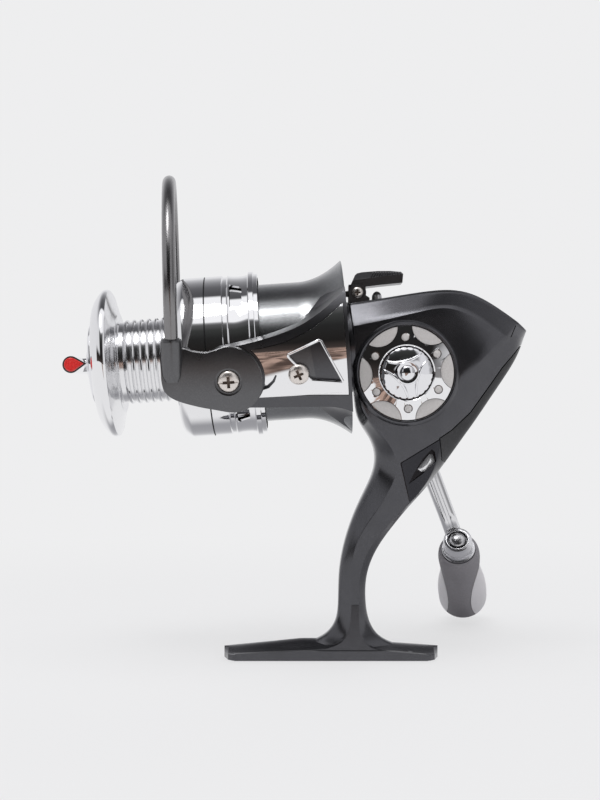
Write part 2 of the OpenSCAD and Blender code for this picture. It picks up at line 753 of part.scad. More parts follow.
// Rotor group
module pinion() color("goldenrod") {
    twist = pinion_twist * pinion_teeth_len;
    on_axis() difference() {
        union() {
            translate([0, 0, pinion_back]) rotate(90 + twist / 2 + pinion_lag)
                linear_extrude(pinion_teeth_len, twist = twist, slices = 24, segments = 32) pinion_outline();
            rod(neck_r, pinion_back + pinion_teeth_len - eps, pinion_front);
        }
        rod(shaft_r + fit, -far, far);
    }
}
module pinion_outline() {
    step = 360 / pinion_teeth;
    polygon([
        for (i = [0:pinion_teeth - 1], p = [[-10, pinion_root], [-4, pinion_tip], [4, pinion_tip], [10, pinion_root]])
            p[1] * [cos(step * i + p[0]), sin(step * i + p[0])]
    ]);
}
function flare(f) = rotor_r + (rim_r - rotor_r) * pow(max(0, (flare_f - f) / (flare_f - rotor_rear)), 2);
module arm_outline() {
    union() {
        polygon([
            [rotor_rear, 24], [2.6, 19], [9, 15], [21, 11.5], [pivot_f, arm_end_r],
            [pivot_f, -arm_end_r], [21, -10.5], [0, -12], [rotor_rear, -14]
        ]);
        translate([pivot_f, 0]) circle(r = arm_end_r);
    }
}
module cover_outline(g) {
    polygon([
        [rotor_rear + 1 + g, 20.4 - 1.6 * g], [2.6, 16.2 - g], [9, 12.4 - g], [22.4 - g, 8.4 - g],
        [22.4 - g, g - 6.8], [rotor_rear + 1 + g, g - 8]
    ]);
}
module arm_side(side) {
    if (side < 0) side_slab(-far, -10) children();
    else side_slab(10, far) children();
}
module rotor() color([0.2, 0.2, 0.22]) {
    steps = 6;
    outer = [for (i = [0:steps]) let (f = rotor_rear + (flare_f - rotor_rear) * i / steps) [flare(f), f]];
    inner = [for (i = [steps:-1:0]) let (f = rotor_rear + (flare_f - rotor_rear) * i / steps) [flare(f) - cup_wall, f]];
    on_rotor() difference() {
        union() {
            rotate_extrude() polygon(concat(outer, [
                [rotor_r, rotor_rim_f], [rotor_r - cup_wall, rotor_rim_f], [rotor_r - cup_wall, rotor_wall_f + rotor_wall_t],
                [neck_r + 0.02, rotor_wall_f + rotor_wall_t], [neck_r + 0.02, rotor_wall_f - 6], [neck_r + 3, rotor_wall_f - 6],
                [neck_r + 4, rotor_wall_f], [rotor_r - cup_wall, rotor_wall_f]
            ], inner));
            for (side = [-1, 1]) intersection() {
                union() {
                    ring(arm_out, arm_in, rotor_rear, far);
                    ring(arm_out, rim_r - 3, rotor_rear, rotor_rear + 3);
                    ring(arm_out, rim_r - 5, rotor_rear + 2.5, rotor_rear + 8);
                }
                arm_side(side) arm_outline();
            }
        }
        for (side = [-1, 1]) intersection() {
            ring(far, pocket_r, rotor_rear, far);
            arm_side(side) cover_outline(0);
        }
        for (side = [-1, 1]) arm_side(side) translate([11.3, 0]) circle(r = 1.55);
        for (side = [-1, 1]) arm_side(side) translate([pivot_f, 0]) circle(r = pivot_r + 0.01);
        translate([-4.5, -30.4, 0]) rod(1.4, 12, 26);
    }
}
module rotor_nut() color("silver") {
    on_axis() difference() {
        translate([0, 0, rotor_wall_f + rotor_wall_t + eps]) cylinder(r = 7, h = 2.7, $fn = 6);
        rod(neck_r + 0.02, -far, far);
    }
}
module arm_cover(side) {
    on_rotor() difference() {
        intersection() {
            ring(arm_out - 0.05, pocket_r + 0.02, rotor_rear, far);
            arm_side(side) cover_outline(gap);
        }
        arm_side(side) translate([11.3, 0]) circle(r = 1.6);
        arm_side(side) polygon([[14.6, 6.2], [4, 10.2], [-2.4, -3.6], [7.6, -2.2]]);
        arm_side(side) polygon([
            [pivot_f - 9.4, -4.4], [20.8, -3.6], [18.9, -1.8], [18.2, 0], [18.6, 0.2], [19.4, -1.3], [pivot_f - 9.4, -3.2]
        ]);
    }
}
module near_arm_cover() color("gainsboro") arm_cover(-1);
module far_arm_cover() color("gainsboro") arm_cover(1);
module arm_cover_screws() color("silver") {
    on_rotor() for (side = [0, 180]) rotate(side) tip_slab(0, -arm_out - 1.5, -arm_out + 0.02)
        translate([11.3, 0]) circle(r = 3.4);
    on_rotor() for (side = [0, 180]) rotate(side) tip_slab(0, -arm_out, -arm_in - 1)
        translate([11.3, 0]) circle(r = 1.5);
}
module bail_pivots() color("silver") {
    head_y = lever_y + lever_t - 1.9;
    on_rotor() for (side = [0, 180]) rotate(side) {
        tip_slab(0, -head_y - 1.6, -head_y) translate([pivot_f, 0]) circle(r = 3.6);
        tip_slab(0, -head_y - eps, -arm_in - 0.6) translate([pivot_f, 0]) circle(r = pivot_r);
    }
}
module bail_spring() color("silver") {
    on_rotor() translate([-4.5, -30.4, 0]) rod(1.3, 12.2, 25.8);
}

// Bail group
module lever_outline() {
    translate([pivot_f, 0]) union() {
        circle(r = lever_r);
        intersection() {
            translate([8.5, 6.2]) circle(r = 13.8);
            translate([-5, -20]) square([25.7, 30.4]);
        }
    }
}
module wire_socket(side) {
    on_hoop() translate([0, side * hoop_r, 0]) rotate([0, 90, 0]) rod(wire_r + 1, -2.6, 4.2);
}
module bail_side(side) {
    from = side < 0 ? -lever_y - lever_t : lever_y;
    head = lever_y + lever_t - 1.9;
    difference() {
        union() {
            on_rotor() side_slab(from, from + lever_t) lever_outline();
            wire_socket(side);
        }
        on_rotor() arm_side(side) translate([pivot_f, 0]) circle(r = pivot_r + fit);
        if (side < 0) on_rotor() side_slab(-far, -head) translate([pivot_f, 0]) circle(r = 4.4);
        else on_rotor() side_slab(head, far) translate([pivot_f, 0]) circle(r = 4.4);
        on_hoop() translate([0, side * hoop_r, 0]) rotate([0, 90, 0]) rod(wire_r + 0.02, 0, far);
        if (side > 0) on_rotor() arm_side(side) translate([roller_f, roller_up]) circle(r = 1.52);
    }
}
module bail_lever() color([0.1, 0.1, 0.11]) bail_side(-1);
module roller_arm() color([0.1, 0.1, 0.11]) bail_side(1);
module bail_wire() color([0.3, 0.3, 0.32]) {
    leg = hoop_h - hoop_r - hoop_foot;
    on_hoop() {
        for (s = [-1, 1]) translate([0, s * hoop_r, 0]) rotate([0, 90, 0]) rod(wire_r, eps, leg);
        translate([leg, 0, 0]) rotate(-90) rotate_extrude(angle = 180) translate([hoop_r, 0]) circle(r = wire_r);
    }
}
module line_roller() color("silver") {
    from = lever_y - 4.7;
    on_rotor() translate([roller_up, 0, roller_f]) rotate([-90, 0, 0]) rotate_extrude() polygon([
        [1.5 + fit, from], [roller_out, from], [roller_out - 0.9, from + 1.6], [roller_out - 0.9, from + 2.8],
        [roller_out, from + 4.4], [1.5 + fit, from + 4.4]
    ]);
}
module roller_screw() color("silver") {
    on_rotor() translate([roller_up, 0, roller_f]) rotate([-90, 0, 0]) {
        rod(1.5, lever_y - 5, lever_y + lever_t);
        rod(2.8, lever_y - 5.9, lever_y - 4.95);
    }
}

// Main shaft group
module main_shaft() color("silver") {
    on_axis() rod(shaft_r, slider_f - slider_len / 2 - 0.2, knob_front + 4);
}
module slider() color("ivory") {
    on_axis() difference() {
        union() {
            translate([-3.6, -5, slider_f - slider_len / 2]) cube([7.2, 8.6, slider_len]);
            translate([0, -2, slider_f - slider_len / 2 + 1]) cube([rod_up + 2.4, 4, slider_len - 2]);
            translate([-18.4, -5, slider_f - slider_len / 2]) cube([22, 2.2, slider_len]);
        }
        rod(shaft_r + 0.01, -far, far);
        translate([rod_up, 0, 0]) rod(rod_r + fit, -far, far);
        translate([-17.2, -6, slider_f - osc_pin_r - 0.2]) cube([19.4, 3.2 - eps, 2 * osc_pin_r + 0.4]);
    }
}
module click_gear() color("silver") {
    teeth = 24;
    on_axis() difference() {
        rod(9, groove_f - 5.2, groove_f - 3.2);
        rod(shaft_r + 0.01, -far, far);
        for (i = [0:teeth - 1]) rotate(360 * i / teeth) translate([9.2, 0, 0]) rod(0.6, 0, far);
    }
}
module spool_sleeve() color("goldenrod") {
    on_axis() ring(sleeve_r, shaft_r + 0.01, groove_f - 3.2 + eps, stack_f - 0.2);
}
module washers(first, thick, outer, inner) {
    on_axis() for (i = [0:2]) ring(outer, inner, first + stack_step * i, first + stack_step * i + thick);
}
module drag_metal_washers() color("silver") {
    washers(stack_f + felt_t + 2 * washer_gap, metal_t, stack_r - 0.4, shaft_r + 0.01);
}
module spool() color("gainsboro") {
    inner = skirt_r - 0.6 - skirt_wall;
    band = skirt_r - 1;
    panel = skirt_r - 0.8;
    on_axis() difference() {
        union() {
            rotate_extrude() polygon([
                [inner, skirt_f], [panel, skirt_f], [panel, skirt_f + 1.2], [skirt_r, skirt_f + 1.4],
                [skirt_r, skirt_f + 2.8], [band, skirt_f + 3.2], [band - 0.3, skirt_f + 6.4], [band, skirt_f + 9.5],
                [band + 0.2, skirt_f + 9.7], [band - 0.3, skirt_f + 10], [band - 0.3, skirt_f + 11.2],
                [panel, skirt_f + 11.6], [panel, groove_f - 4.4], [skirt_r - 3.4, groove_f], [core_r, groove_f],
                [core_r, lip_f],
                [core_r + 3, lip_f], [core_r + 3, lip_f + 0.6], [lip_r, lip_f + 4.4], [lip_r, lip_f + 6],
                [lip_r - 3, spool_front], [recess_r + 2, spool_front - 0.8], [recess_r, spool_front - 0.8],
                [recess_r, spool_front - 6], [stack_r, spool_front - 6], [stack_r, stack_f - 0.1],
                [sleeve_r + fit, stack_f - 0.1], [sleeve_r + fit, groove_f - wall_t - 1], [10, groove_f - wall_t - 1],
                [10, groove_f - wall_t], [inner, groove_f - wall_t]
            ]);
            for (i = [1:core_ribs]) ring(core_r + 0.5, core_r - 1, groove_f + line_w * i / (core_ribs + 1) - 0.4,
                groove_f + line_w * i / (core_ribs + 1) + 0.4);
        }
        intersection() {
            ring(far, band - 1, skirt_f, groove_f);
            for (i = [0:skirt_windows - 1]) rotate(360 * i / skirt_windows + 45) side_slab(10, far)
                polygon([
                    [skirt_f + 5, -4.5], [skirt_f + 9, -6.3], [skirt_f + 9, 6.3], [skirt_f + 5, 4.5]
                ]);
        }
        ring(far, panel - 0.25, skirt_f + 16.6, skirt_f + 16.9);
    }
}
module drag_felt_washers() color([0.5, 0.4, 0.3]) {
    washers(stack_f + washer_gap, felt_t, stack_r - 0.2, sleeve_r + 0.3);
}
module drag_clip() color("silver") {
    from = stack_f + 3 * stack_step + 0.3;
    on_axis() ring(stack_r - 0.02, stack_r - 1.1, from, from + 0.8);
}

// Drag knob: a disc in the lip's recess, a wing across it with plain coloured tips, a nut inside
module wing_outline(from) {
    union() {
        translate([knob_front + 4.6, 0]) circle(r = 3.6);
        polygon([
            [knob_front + from, -1.6], [knob_front + 2.8, -3.1], [knob_front + 2.8, 3.1], [knob_front + from, 1.6]
        ]);
    }
}
module drag_knob() color("gainsboro") {
    low = stack_f + 3 * stack_step + 0.4;
    on_axis() difference() {
        union() {
            rotate_extrude() polygon([
                [0, low], [stack_r - 2, low], [stack_r - 2, spool_front - 5.7], [knob_disc_r, spool_front - 5.7],
                [knob_disc_r, knob_front - 0.8], [knob_disc_r - 0.8, knob_front], [0, knob_front]
            ]);
            side_slab(-wing_len / 2, wing_len / 2) wing_outline(-0.5);
        }
        rod(shaft_r + fit, 0, knob_front + 4.3);
        translate([0, 0, low - 1]) cylinder(r = 5.1, h = 5, $fn = 6);
    }
}
module drag_knob_tips() color("red") {
    on_axis() for (s = [0, 180]) rotate(s) side_slab(wing_len / 2 + eps, wing_len / 2 + 1) wing_outline(0.2);
}
module drag_nut() color("goldenrod") {
    low = stack_f + 3 * stack_step + 0.6;
    on_axis() difference() {
        translate([0, 0, low]) cylinder(r = 5, h = 3, $fn = 6);
        rod(shaft_r + fit, -far, far);
    }
}

gear_housing();
side_cover();
cover_screws();
rear_trim();
stem_gem();
disc_plate();
disc_pads();
disc_studs();
front_bearing();
bearing_retainer();
retainer_screws();
clutch_ring();
clutch_cage();
clutch_rollers();
drive_bearing_near();
drive_bearing_far();
oscillation_post();
slider_rod();
lever_bracket();
lever_screw();
lever_stop();
anti_reverse_lever();
drive_gear();
drive_shaft();
oscillation_pinion();
oscillation_gear();
handle_screw();
handle_cap();
handle_fork();
fold_pin();
handle_arm();
knob_spindle();
knob_collar();
knob_core();
knob_panels();
pinion();
clutch_sleeve();
rotor();
rotor_nut();
near_arm_cover();
far_arm_cover();
arm_cover_screws();
bail_pivots();
bail_spring();
bail_lever();
roller_arm();
bail_wire();
line_roller();
roller_screw();
main_shaft();
slider();
click_gear();
spool_sleeve();
drag_metal_washers();
spool();
drag_felt_washers();
drag_clip();
drag_knob();
drag_knob_tips();
drag_nut();
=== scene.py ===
# Spinning reel: the looks of its pieces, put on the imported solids. Sizes are in millimetres until a piece is placed.
import json
import math

import bmesh
import bpy
from mathutils import Matrix, Vector


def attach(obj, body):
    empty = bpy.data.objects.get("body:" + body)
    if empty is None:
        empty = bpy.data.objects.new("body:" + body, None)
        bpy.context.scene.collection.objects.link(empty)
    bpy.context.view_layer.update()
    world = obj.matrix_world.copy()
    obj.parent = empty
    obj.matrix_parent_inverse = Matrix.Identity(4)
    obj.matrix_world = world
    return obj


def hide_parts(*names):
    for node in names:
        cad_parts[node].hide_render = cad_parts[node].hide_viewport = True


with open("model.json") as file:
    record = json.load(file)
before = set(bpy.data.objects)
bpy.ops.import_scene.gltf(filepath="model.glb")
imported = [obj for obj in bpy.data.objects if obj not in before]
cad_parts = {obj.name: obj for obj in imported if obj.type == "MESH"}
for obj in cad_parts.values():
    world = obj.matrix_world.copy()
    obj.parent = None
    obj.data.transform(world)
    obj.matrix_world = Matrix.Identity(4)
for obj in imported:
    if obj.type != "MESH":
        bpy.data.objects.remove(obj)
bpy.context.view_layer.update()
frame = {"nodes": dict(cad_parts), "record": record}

# ---- Studio ----
# A pale seamless floor under one large soft light, with a dim room behind the camera for the chrome to mirror.
# The camera stands level, a little under the side disc, as the photographer's did.
scene = bpy.context.scene
scene.view_settings.view_transform = "Standard"


def placed(name, data):
    """A new object in the scene."""
    thing = bpy.data.objects.new(name, data)
    scene.collection.objects.link(thing)
    return thing


def as_mesh(name, bm):
    """A mesh made of a bmesh, which is used up."""
    mesh = bpy.data.meshes.new(name)
    bm.to_mesh(mesh)
    bm.free()
    return mesh


eye = bpy.data.cameras.new("photo_eye")
eye.lens = 62.1
eye.sensor_width = 36
eye.clip_start = 0.01
camera = placed("photo_eye", eye)
camera.location = (-0.01033, -0.46, 0.0855)
camera.rotation_euler = (math.pi / 2, 0, 0)
scene.camera = camera


def fresh_tree(owner):
    owner.use_nodes = True
    owner.node_tree.nodes.clear()
    return owner.node_tree


def add_node(tree, kind, inputs=None, **settings):
    """One shader node with its settings; an input is a value or the socket that feeds it."""
    node = tree.nodes.new("ShaderNode" + kind)
    for key, value in settings.items():
        setattr(node, key, value)
    for key, value in (inputs or {}).items():
        if isinstance(value, bpy.types.NodeSocket):
            tree.links.new(value, node.inputs[key])
        else:
            node.inputs[key].default_value = value
    return node


def math_node(tree, operation, a, b=0.0):
    return add_node(tree, "Math", {0: a, 1: b}, operation=operation).outputs[0]


def mix_colour(tree, share, a, b):
    return add_node(tree, "Mix", {0: share, 6: a, 7: b}, data_type="RGBA").outputs[2]


def ramp(tree, value, stops):
    """A colour ramp over value, from (position, colour) stops."""
    node = add_node(tree, "ValToRGB", {0: value})
    band = node.color_ramp.elements
    for position, _ in stops[2:]:
        band.new(position)
    for element, (position, colour) in zip(band, stops):
        element.position = position
        element.color = (*colour, 1)
    return node.outputs[0]


def eased(tree, value, low, high, start=0.0, end=1.0):
    """A smooth step from start to end while value goes from low to high."""
    stops = {0: value, 1: low, 2: high, 3: start, 4: end}
    return add_node(tree, "MapRange", stops, interpolation_type="SMOOTHSTEP").outputs[0]


def ray_kinds(tree):
    """Whether a ray comes straight from the camera, and whether it comes by way of a gloss or a glass."""
    ray = add_node(tree, "LightPath").outputs
    return ray["Is Camera Ray"], math_node(tree, "MAXIMUM", ray["Is Glossy Ray"], ray["Is Transmission Ray"])


def own_spot(tree):
    return add_node(tree, "TexCoord").outputs["Object"]


def noise(tree, **inputs):
    return add_node(tree, "TexNoise", inputs).outputs[0]


backdrop = (0.855, 0.855, 0.862, 1)
room = bpy.data.worlds.new("studio_room")
scene.world = room
tree = fresh_tree(room)
from_camera, glossy = ray_kinds(tree)
way = add_node(tree, "TexCoord").outputs["Generated"]
look = add_node(tree, "SeparateXYZ", {0: way}).outputs
height = add_node(tree, "Math", {0: look["Z"], 1: 0.5, 2: 0.5}, operation="MULTIPLY_ADD").outputs[0]
paper_white, softbox_white = (0.86, 0.86, 0.87), (1.03, 1.03, 1.05)
front_room = ramp(tree, height, [
    (0.0, paper_white), (0.45, (0.16, 0.13, 0.12)), (0.50, (0.05, 0.04, 0.037)), (0.56, (0.016, 0.0145, 0.014)),
    (0.70, (0.022, 0.022, 0.022)), (0.79, (0.045, 0.047, 0.046)), (0.84, (0.11, 0.11, 0.113)),
    (0.855, (0.30, 0.30, 0.31)), (0.868, softbox_white), (1.0, softbox_white),
])
back_room = ramp(tree, height, [
    (0.0, paper_white), (0.72, (0.80, 0.80, 0.82)), (0.80, (0.54, 0.54, 0.56)), (0.88, (0.30, 0.30, 0.315)),
    (0.95, (0.14, 0.14, 0.15)), (1.0, (0.08, 0.08, 0.085)),
])
behind = eased(tree, look["Y"], -0.01, 0.09)
right = eased(tree, look["X"], 0.28, 0.44)
left = eased(tree, look["X"], -0.46, -0.64)
over_horizon = eased(tree, height, 0.55, 0.62)
card_end = add_node(tree, "MapRange", {0: look["X"], 1: 0.62, 2: 0.80, 3: 1.0, 4: 0.45}).outputs[0]
left_card = math_node(tree, "MULTIPLY", left, over_horizon)
cards = math_node(tree, "MAXIMUM", left_card, math_node(tree, "MULTIPLY", right, card_end))
ahead = mix_colour(tree, cards, front_room, (0.78, 0.78, 0.80, 1))
mirrored = mix_colour(tree, behind, ahead, back_room)
lit = mix_colour(tree, glossy, (0.46, 0.46, 0.47, 1), mirrored)
shown = mix_colour(tree, from_camera, lit, backdrop)
sky = add_node(tree, "Background", {0: shown, 1: 1.0})
tree.links.new(sky.outputs[0], add_node(tree, "OutputWorld").inputs[0])

floor_reach = 4
bm = bmesh.new()
bmesh.ops.create_grid(bm, x_segments=1, y_segments=1, size=floor_reach)
floor = placed("studio_floor", as_mesh("studio_floor", bm))
floor.location.z = -0.0002
paper = bpy.data.materials.new("studio_paper")
tree = fresh_tree(paper)
from_camera, glossy = ray_kinds(tree)
spot = own_spot(tree)
reach = add_node(tree, "VectorMath", {0: spot}, operation="LENGTH").outputs["Value"]
fade = eased(tree, reach, 0.10, 0.42, 0.74, 1.0)
across = add_node(tree, "SeparateXYZ", {0: spot}).outputs
# To glossy rays the paper under and behind the object is darker: painted shade.
beyond = eased(tree, across["Y"], -0.01, 0.03)
below = eased(tree, reach, 0.24, 0.05)
# Towards the camera, glossy rays see the floor glow as streaked timber instead: a painted reflection.
aside = math_node(tree, "ABSOLUTE", math_node(tree, "ADD", across["X"], 0.02))
slant = math_node(tree, "ADD", across["Y"], math_node(tree, "MULTIPLY", aside, 5.0))
on_paper = eased(tree, slant, -0.235, -0.185)
shade = math_node(tree, "MULTIPLY", beyond, below)
paper_with_painted_shade = mix_colour(tree, shade, (0.88, 0.88, 0.89, 1), (0.36, 0.36, 0.38, 1))
stretched = add_node(tree, "VectorMath", {0: spot, 1: (55.0, 5.0, 1.0)}, operation="MULTIPLY").outputs[0]
streak = eased(tree, noise(tree, Vector=stretched, Scale=1.0, Detail=2.0, Distortion=0.8), 0.36, 0.64)
painted_timber_reflection = mix_colour(tree, streak, (0.09, 0.062, 0.053, 1), (0.48, 0.335, 0.275, 1))
mirrored = mix_colour(tree, on_paper, painted_timber_reflection, paper_with_painted_shade)
share = math_node(tree, "MAXIMUM", math_node(tree, "MULTIPLY", from_camera, fade), glossy)
glow = add_node(tree, "Emission", {0: mix_colour(tree, glossy, backdrop, mirrored)})
sheet = add_node(tree, "BsdfDiffuse", {0: (0.68, 0.68, 0.69, 1)})
both = add_node(tree, "MixShader", {0: share, 1: sheet.outputs[0], 2: glow.outputs[0]})
tree.links.new(both.outputs[0], add_node(tree, "OutputMaterial").inputs[0])
floor.data.materials.append(paper)

aim = Vector((0, 0, 0.09))
for name, place, size, power, in_gloss in (
    ("top_softbox", (-0.12, -0.22, 0.95), 0.8, 4.6, False), ("key_softbox", (-0.24, -0.36, 0.99), 0.34, 2.2, True),
    ("front_fill", (0.35, -1.05, 0.42), 0.7, 2.6, False), ("rear_fill", (0.25, 0.85, 0.55), 0.7, 2.6, False),
):
    lamp = bpy.data.lights.new(name, "AREA")
    lamp.size = size
    lamp.energy = power
    stand = placed(name, lamp)
    stand.location = place
    stand.rotation_euler = (aim - Vector(place)).to_track_quat("-Z", "Y").to_euler()
    stand.visible_glossy = in_gloss

# ---- Gear housing, stem and foot ----
# One aluminium casting, painted in a black lacquer with fine metal flake: a wedge-shaped gear box with a crisp upper
# facet, a swept stem and a low foot that slides into a rod's seat. The far wall is a cover of its own.


def group_tree(name, inputs, outputs):
    """An empty shader node group with named sockets, and its two ends."""
    tree = bpy.data.node_groups.new(name, "ShaderNodeTree")
    for label, kind, value in inputs:
        tree.interface.new_socket(label, in_out="INPUT", socket_type=kind).default_value = value
    for label, kind in outputs:
        tree.interface.new_socket(label, in_out="OUTPUT", socket_type=kind)
    return tree, tree.nodes.new("NodeGroupInput").outputs, tree.nodes.new("NodeGroupOutput").inputs


COLOUR, NUMBER, VECTOR = "NodeSocketColor", "NodeSocketFloat", "NodeSocketVector"

# Flake in lacquer, or speckle in a moulding: cells of which a share catches the light
flake_tree, given, out = group_tree(
    "speckle", [("Ground", COLOUR, (0.05, 0.05, 0.05, 1)), ("Fleck", COLOUR, (0.3, 0.3, 0.3, 1)),
    ("Scale", NUMBER, 5000.0), ("Share", NUMBER, 0.2)], [("Color", COLOUR)])
spot = own_spot(flake_tree)
cells = add_node(flake_tree, "TexVoronoi", {"Vector": spot, "Scale": given["Scale"]})
picked = add_node(flake_tree, "SeparateColor", {0: cells.outputs["Color"]}).outputs[0]
limit = math_node(flake_tree, "SUBTRACT", 1.0, given["Share"])
lit_cell = math_node(flake_tree, "GREATER_THAN", picked, limit)
fleck_share = math_node(flake_tree, "MULTIPLY", lit_cell, noise(flake_tree, Vector=spot, Scale=160.0, Detail=3.0))
flake_tree.links.new(mix_colour(flake_tree, fleck_share, given["Ground"], given["Fleck"]), out["Color"])

# Handling: patches that are duller or brighter, and fine rubbed streaks
sheen_tree, given, out = group_tree(
    "handled_sheen", [("Low", NUMBER, 0.2), ("High", NUMBER, 0.4), ("Scale", NUMBER, 60.0)], [("Roughness", NUMBER)])
patch = noise(sheen_tree, Vector=own_spot(sheen_tree), Scale=given["Scale"], Detail=5.0, Roughness=0.6)
level = add_node(sheen_tree, "MapRange", {0: patch, 1: 0.32, 2: 0.68, 3: given["Low"], 4: given["High"]})
sheen_tree.links.new(level.outputs[0], out["Roughness"])

# Moulding or casting texture: a fine grain that only tilts the surface
grain_tree, given, out = group_tree(
    "surface_grain", [("Scale", NUMBER, 2500.0), ("Strength", NUMBER, 0.1)], [("Normal", VECTOR)])
bumps = noise(grain_tree, Vector=own_spot(grain_tree), Scale=given["Scale"], Detail=2.0)
tilt = add_node(grain_tree, "Bump", {"Strength": given["Strength"], "Distance": 0.0001, "Height": bumps})
grain_tree.links.new(tilt.outputs[0], out["Normal"])


def surface(name, ground, fleck, flecks, gloss, grain, **sockets):
    """A finish: speckle (scale, share), sheen (low, high, scale) and grain (scale, strength) on one shader."""
    material = bpy.data.materials.new(name)
    material.use_nodes = True
    tree = material.node_tree
    shader = tree.nodes["Principled BSDF"]
    for key, value in sockets.items():
        shader.inputs[key.replace("_", " ")].default_value = value
    speckle = add_node(tree, "Group", node_tree=flake_tree)
    sheen = add_node(tree, "Group", node_tree=sheen_tree)
    texture = add_node(tree, "Group", node_tree=grain_tree)
    for node, keys, values in (
        (speckle, ("Ground", "Fleck", "Scale", "Share"), ((*ground, 1), (*fleck, 1), *flecks)),
        (sheen, ("Low", "High", "Scale"), gloss), (texture, ("Scale", "Strength"), grain),
    ):
        for key, value in zip(keys, values):
            node.inputs[key].default_value = value
    tree.links.new(speckle.outputs[0], shader.inputs["Base Color"])
    tree.links.new(sheen.outputs[0], shader.inputs["Roughness"])
    tree.links.new(texture.outputs[0], shader.inputs["Normal"])
    return material


def skin(columns, rows, where, hard=None):
    """A grid of columns by rows whose corners go where(i, j) says; hard gives an edge's crease from its two corners."""
    bm = bmesh.new()
    bmesh.ops.create_grid(bm, x_segments=columns, y_segments=rows, size=1)
    spots = {v: (round((v.co.x + 1) / 2 * columns), round((v.co.y + 1) / 2 * rows)) for v in bm.verts}
    for v, spot in spots.items():
        v.co = where(*spot)
    if hard:
        crease = bm.edges.layers.float.new("crease_edge")
        for edge in bm.edges:
            edge[crease] = hard(*sorted(spots[v] for v in edge.verts))
    return tidy(bm)


def tidy(bm, gap=0.002):
    bmesh.ops.remove_doubles(bm, verts=bm.verts, dist=gap)
    bmesh.ops.dissolve_degenerate(bm, edges=bm.edges, dist=gap / 4)
    bmesh.ops.recalc_face_normals(bm, faces=bm.faces)
    return bm


def worked(bm, kind, other=None, **settings):
    """The bmesh with one modifier applied; a second bmesh can be the modifier's tool. Both are used up."""
    shapes = [placed("bench", as_mesh("bench", shape)) for shape in (bm, other) if shape is not None]
    tool = shapes[0].modifiers.new("tool", kind)
    for key, value in settings.items():
        setattr(tool, key, value)
    if other is not None:
        tool.object = shapes[1]
        tool.solver = "EXACT"
    graph = bpy.context.evaluated_depsgraph_get()
    graph.update()
    done = bmesh.new()
    done.from_object(shapes[0], graph)
    for shape in shapes:
        mesh = shape.data
        bpy.data.objects.remove(shape)
        bpy.data.meshes.remove(mesh)
    return done


def cut(bm, tool):
    return worked(bm, "BOOLEAN", tool, operation="DIFFERENCE")


def united(bm, tool):
    return worked(bm, "BOOLEAN", tool, operation="UNION")


def moved(bm, place):
    bmesh.ops.transform(bm, matrix=place, verts=bm.verts)
    return bm


def joined(*shapes):
    """Several bmeshes as one; they are used up."""
    whole = bmesh.new()
    for shape in shapes:
        mesh = as_mesh("bench", shape)
        whole.from_mesh(mesh)
        bpy.data.meshes.remove(mesh)
    return whole


def painted(bm, pick):
    """Gives each face the finish whose number pick makes of the face's middle."""
    for face in bm.faces:
        face.material_index = int(pick(face.calc_center_median()))
    return bm


def pulled(bm):
    """Draws all faces out into a second layer and gives that layer's corners."""
    made = bmesh.ops.extrude_face_region(bm, geom=bm.faces[:])["geom"]
    return [v for v in made if isinstance(v, bmesh.types.BMVert)]


def sliced(bm, spot, way, **settings):
    bmesh.ops.bisect_plane(bm, geom=bm.verts[:] + bm.edges[:] + bm.faces[:], plane_co=spot, plane_no=way, **settings)


def prism(outline, low, high):
    """An (x, y) outline raised from z = low to z = high."""
    bm = bmesh.new()
    bm.faces.new([bm.verts.new((x, y, low)) for x, y in outline])
    bmesh.ops.translate(bm, vec=(0, 0, high - low), verts=pulled(bm))
    return tidy(bm)


def lathe(profile, steps=128, ring=False):
    """An (r, z) outline spun about z; a ring's outline closes on itself."""
    bm = bmesh.new()
    verts = [bm.verts.new((r, 0, z)) for r, z in profile]
    ends = verts[1:] + (verts[:1] if ring else [])
    edges = [bm.edges.new(pair) for pair in zip(verts, ends)]
    bmesh.ops.spin(
        bm, geom=verts + edges, axis=(0, 0, 1), cent=(0, 0, 0), angle=math.tau, steps=steps, use_merge=True)
    return tidy(bm)


def rounded(bm, width, segments=3, angle=35, pick=lambda co: True):
    """Bevels the edges that turn by more than angle and whose two corners pick accepts."""
    least = math.radians(angle)
    sharp = [e for e in bm.edges if len(e.link_faces) == 2 and e.calc_face_angle(0) > least]
    sharp = [e for e in sharp if all(pick(v.co) for v in e.verts)]
    bmesh.ops.bevel(
        bm, geom=sharp, offset=width, offset_type="OFFSET", affect="EDGES", segments=segments, profile=0.5, material=-1,
        clamp_overlap=True)
    return bm


def turn(degrees, axis):
    return Matrix.Rotation(math.radians(degrees), 4, axis)


def shift(x, y, z):
    return Matrix.Translation((x, y, z))


def facing(x, y, z, hand=1):
    """A place whose z axis points out at the far side (1) or the near side (-1)."""
    return shift(x, y, z) @ turn(-90 * hand, "X")


def side(outline, near, far):
    """An (X, Z) outline of the side view, raised along Y from near to far."""
    return moved(prism(outline, -far, -near), turn(90, "X"))


METRES = Matrix.Scale(0.001, 4)


def piece(name, bm, finish, body, nodes=(), place=Matrix(), smooth=32):
    """Puts a bmesh in the scene as a finished piece that rides on body and stands for nodes."""
    mesh = as_mesh(name, moved(bm, METRES @ place))
    for material in finish if isinstance(finish, list) else [finish]:
        mesh.materials.append(material)
    mesh.polygons.foreach_set("use_smooth", [True] * len(mesh.polygons))
    mesh.set_sharp_from_angle(angle=math.radians(smooth))
    thing = placed(name, mesh)
    thing.modifiers.new("even_faces", "WEIGHTED_NORMAL").keep_sharp = True
    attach(thing, body)
    if nodes:
        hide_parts(*nodes)


black_lacquer = surface(
    "black_lacquer", (0.072, 0.072, 0.079), (0.15, 0.15, 0.163), (15000, 0.25), (0.18, 0.23, 60), (1800, 0.03),
    Metallic=0.88, Coat_Weight=0.2, Coat_Roughness=0.12)

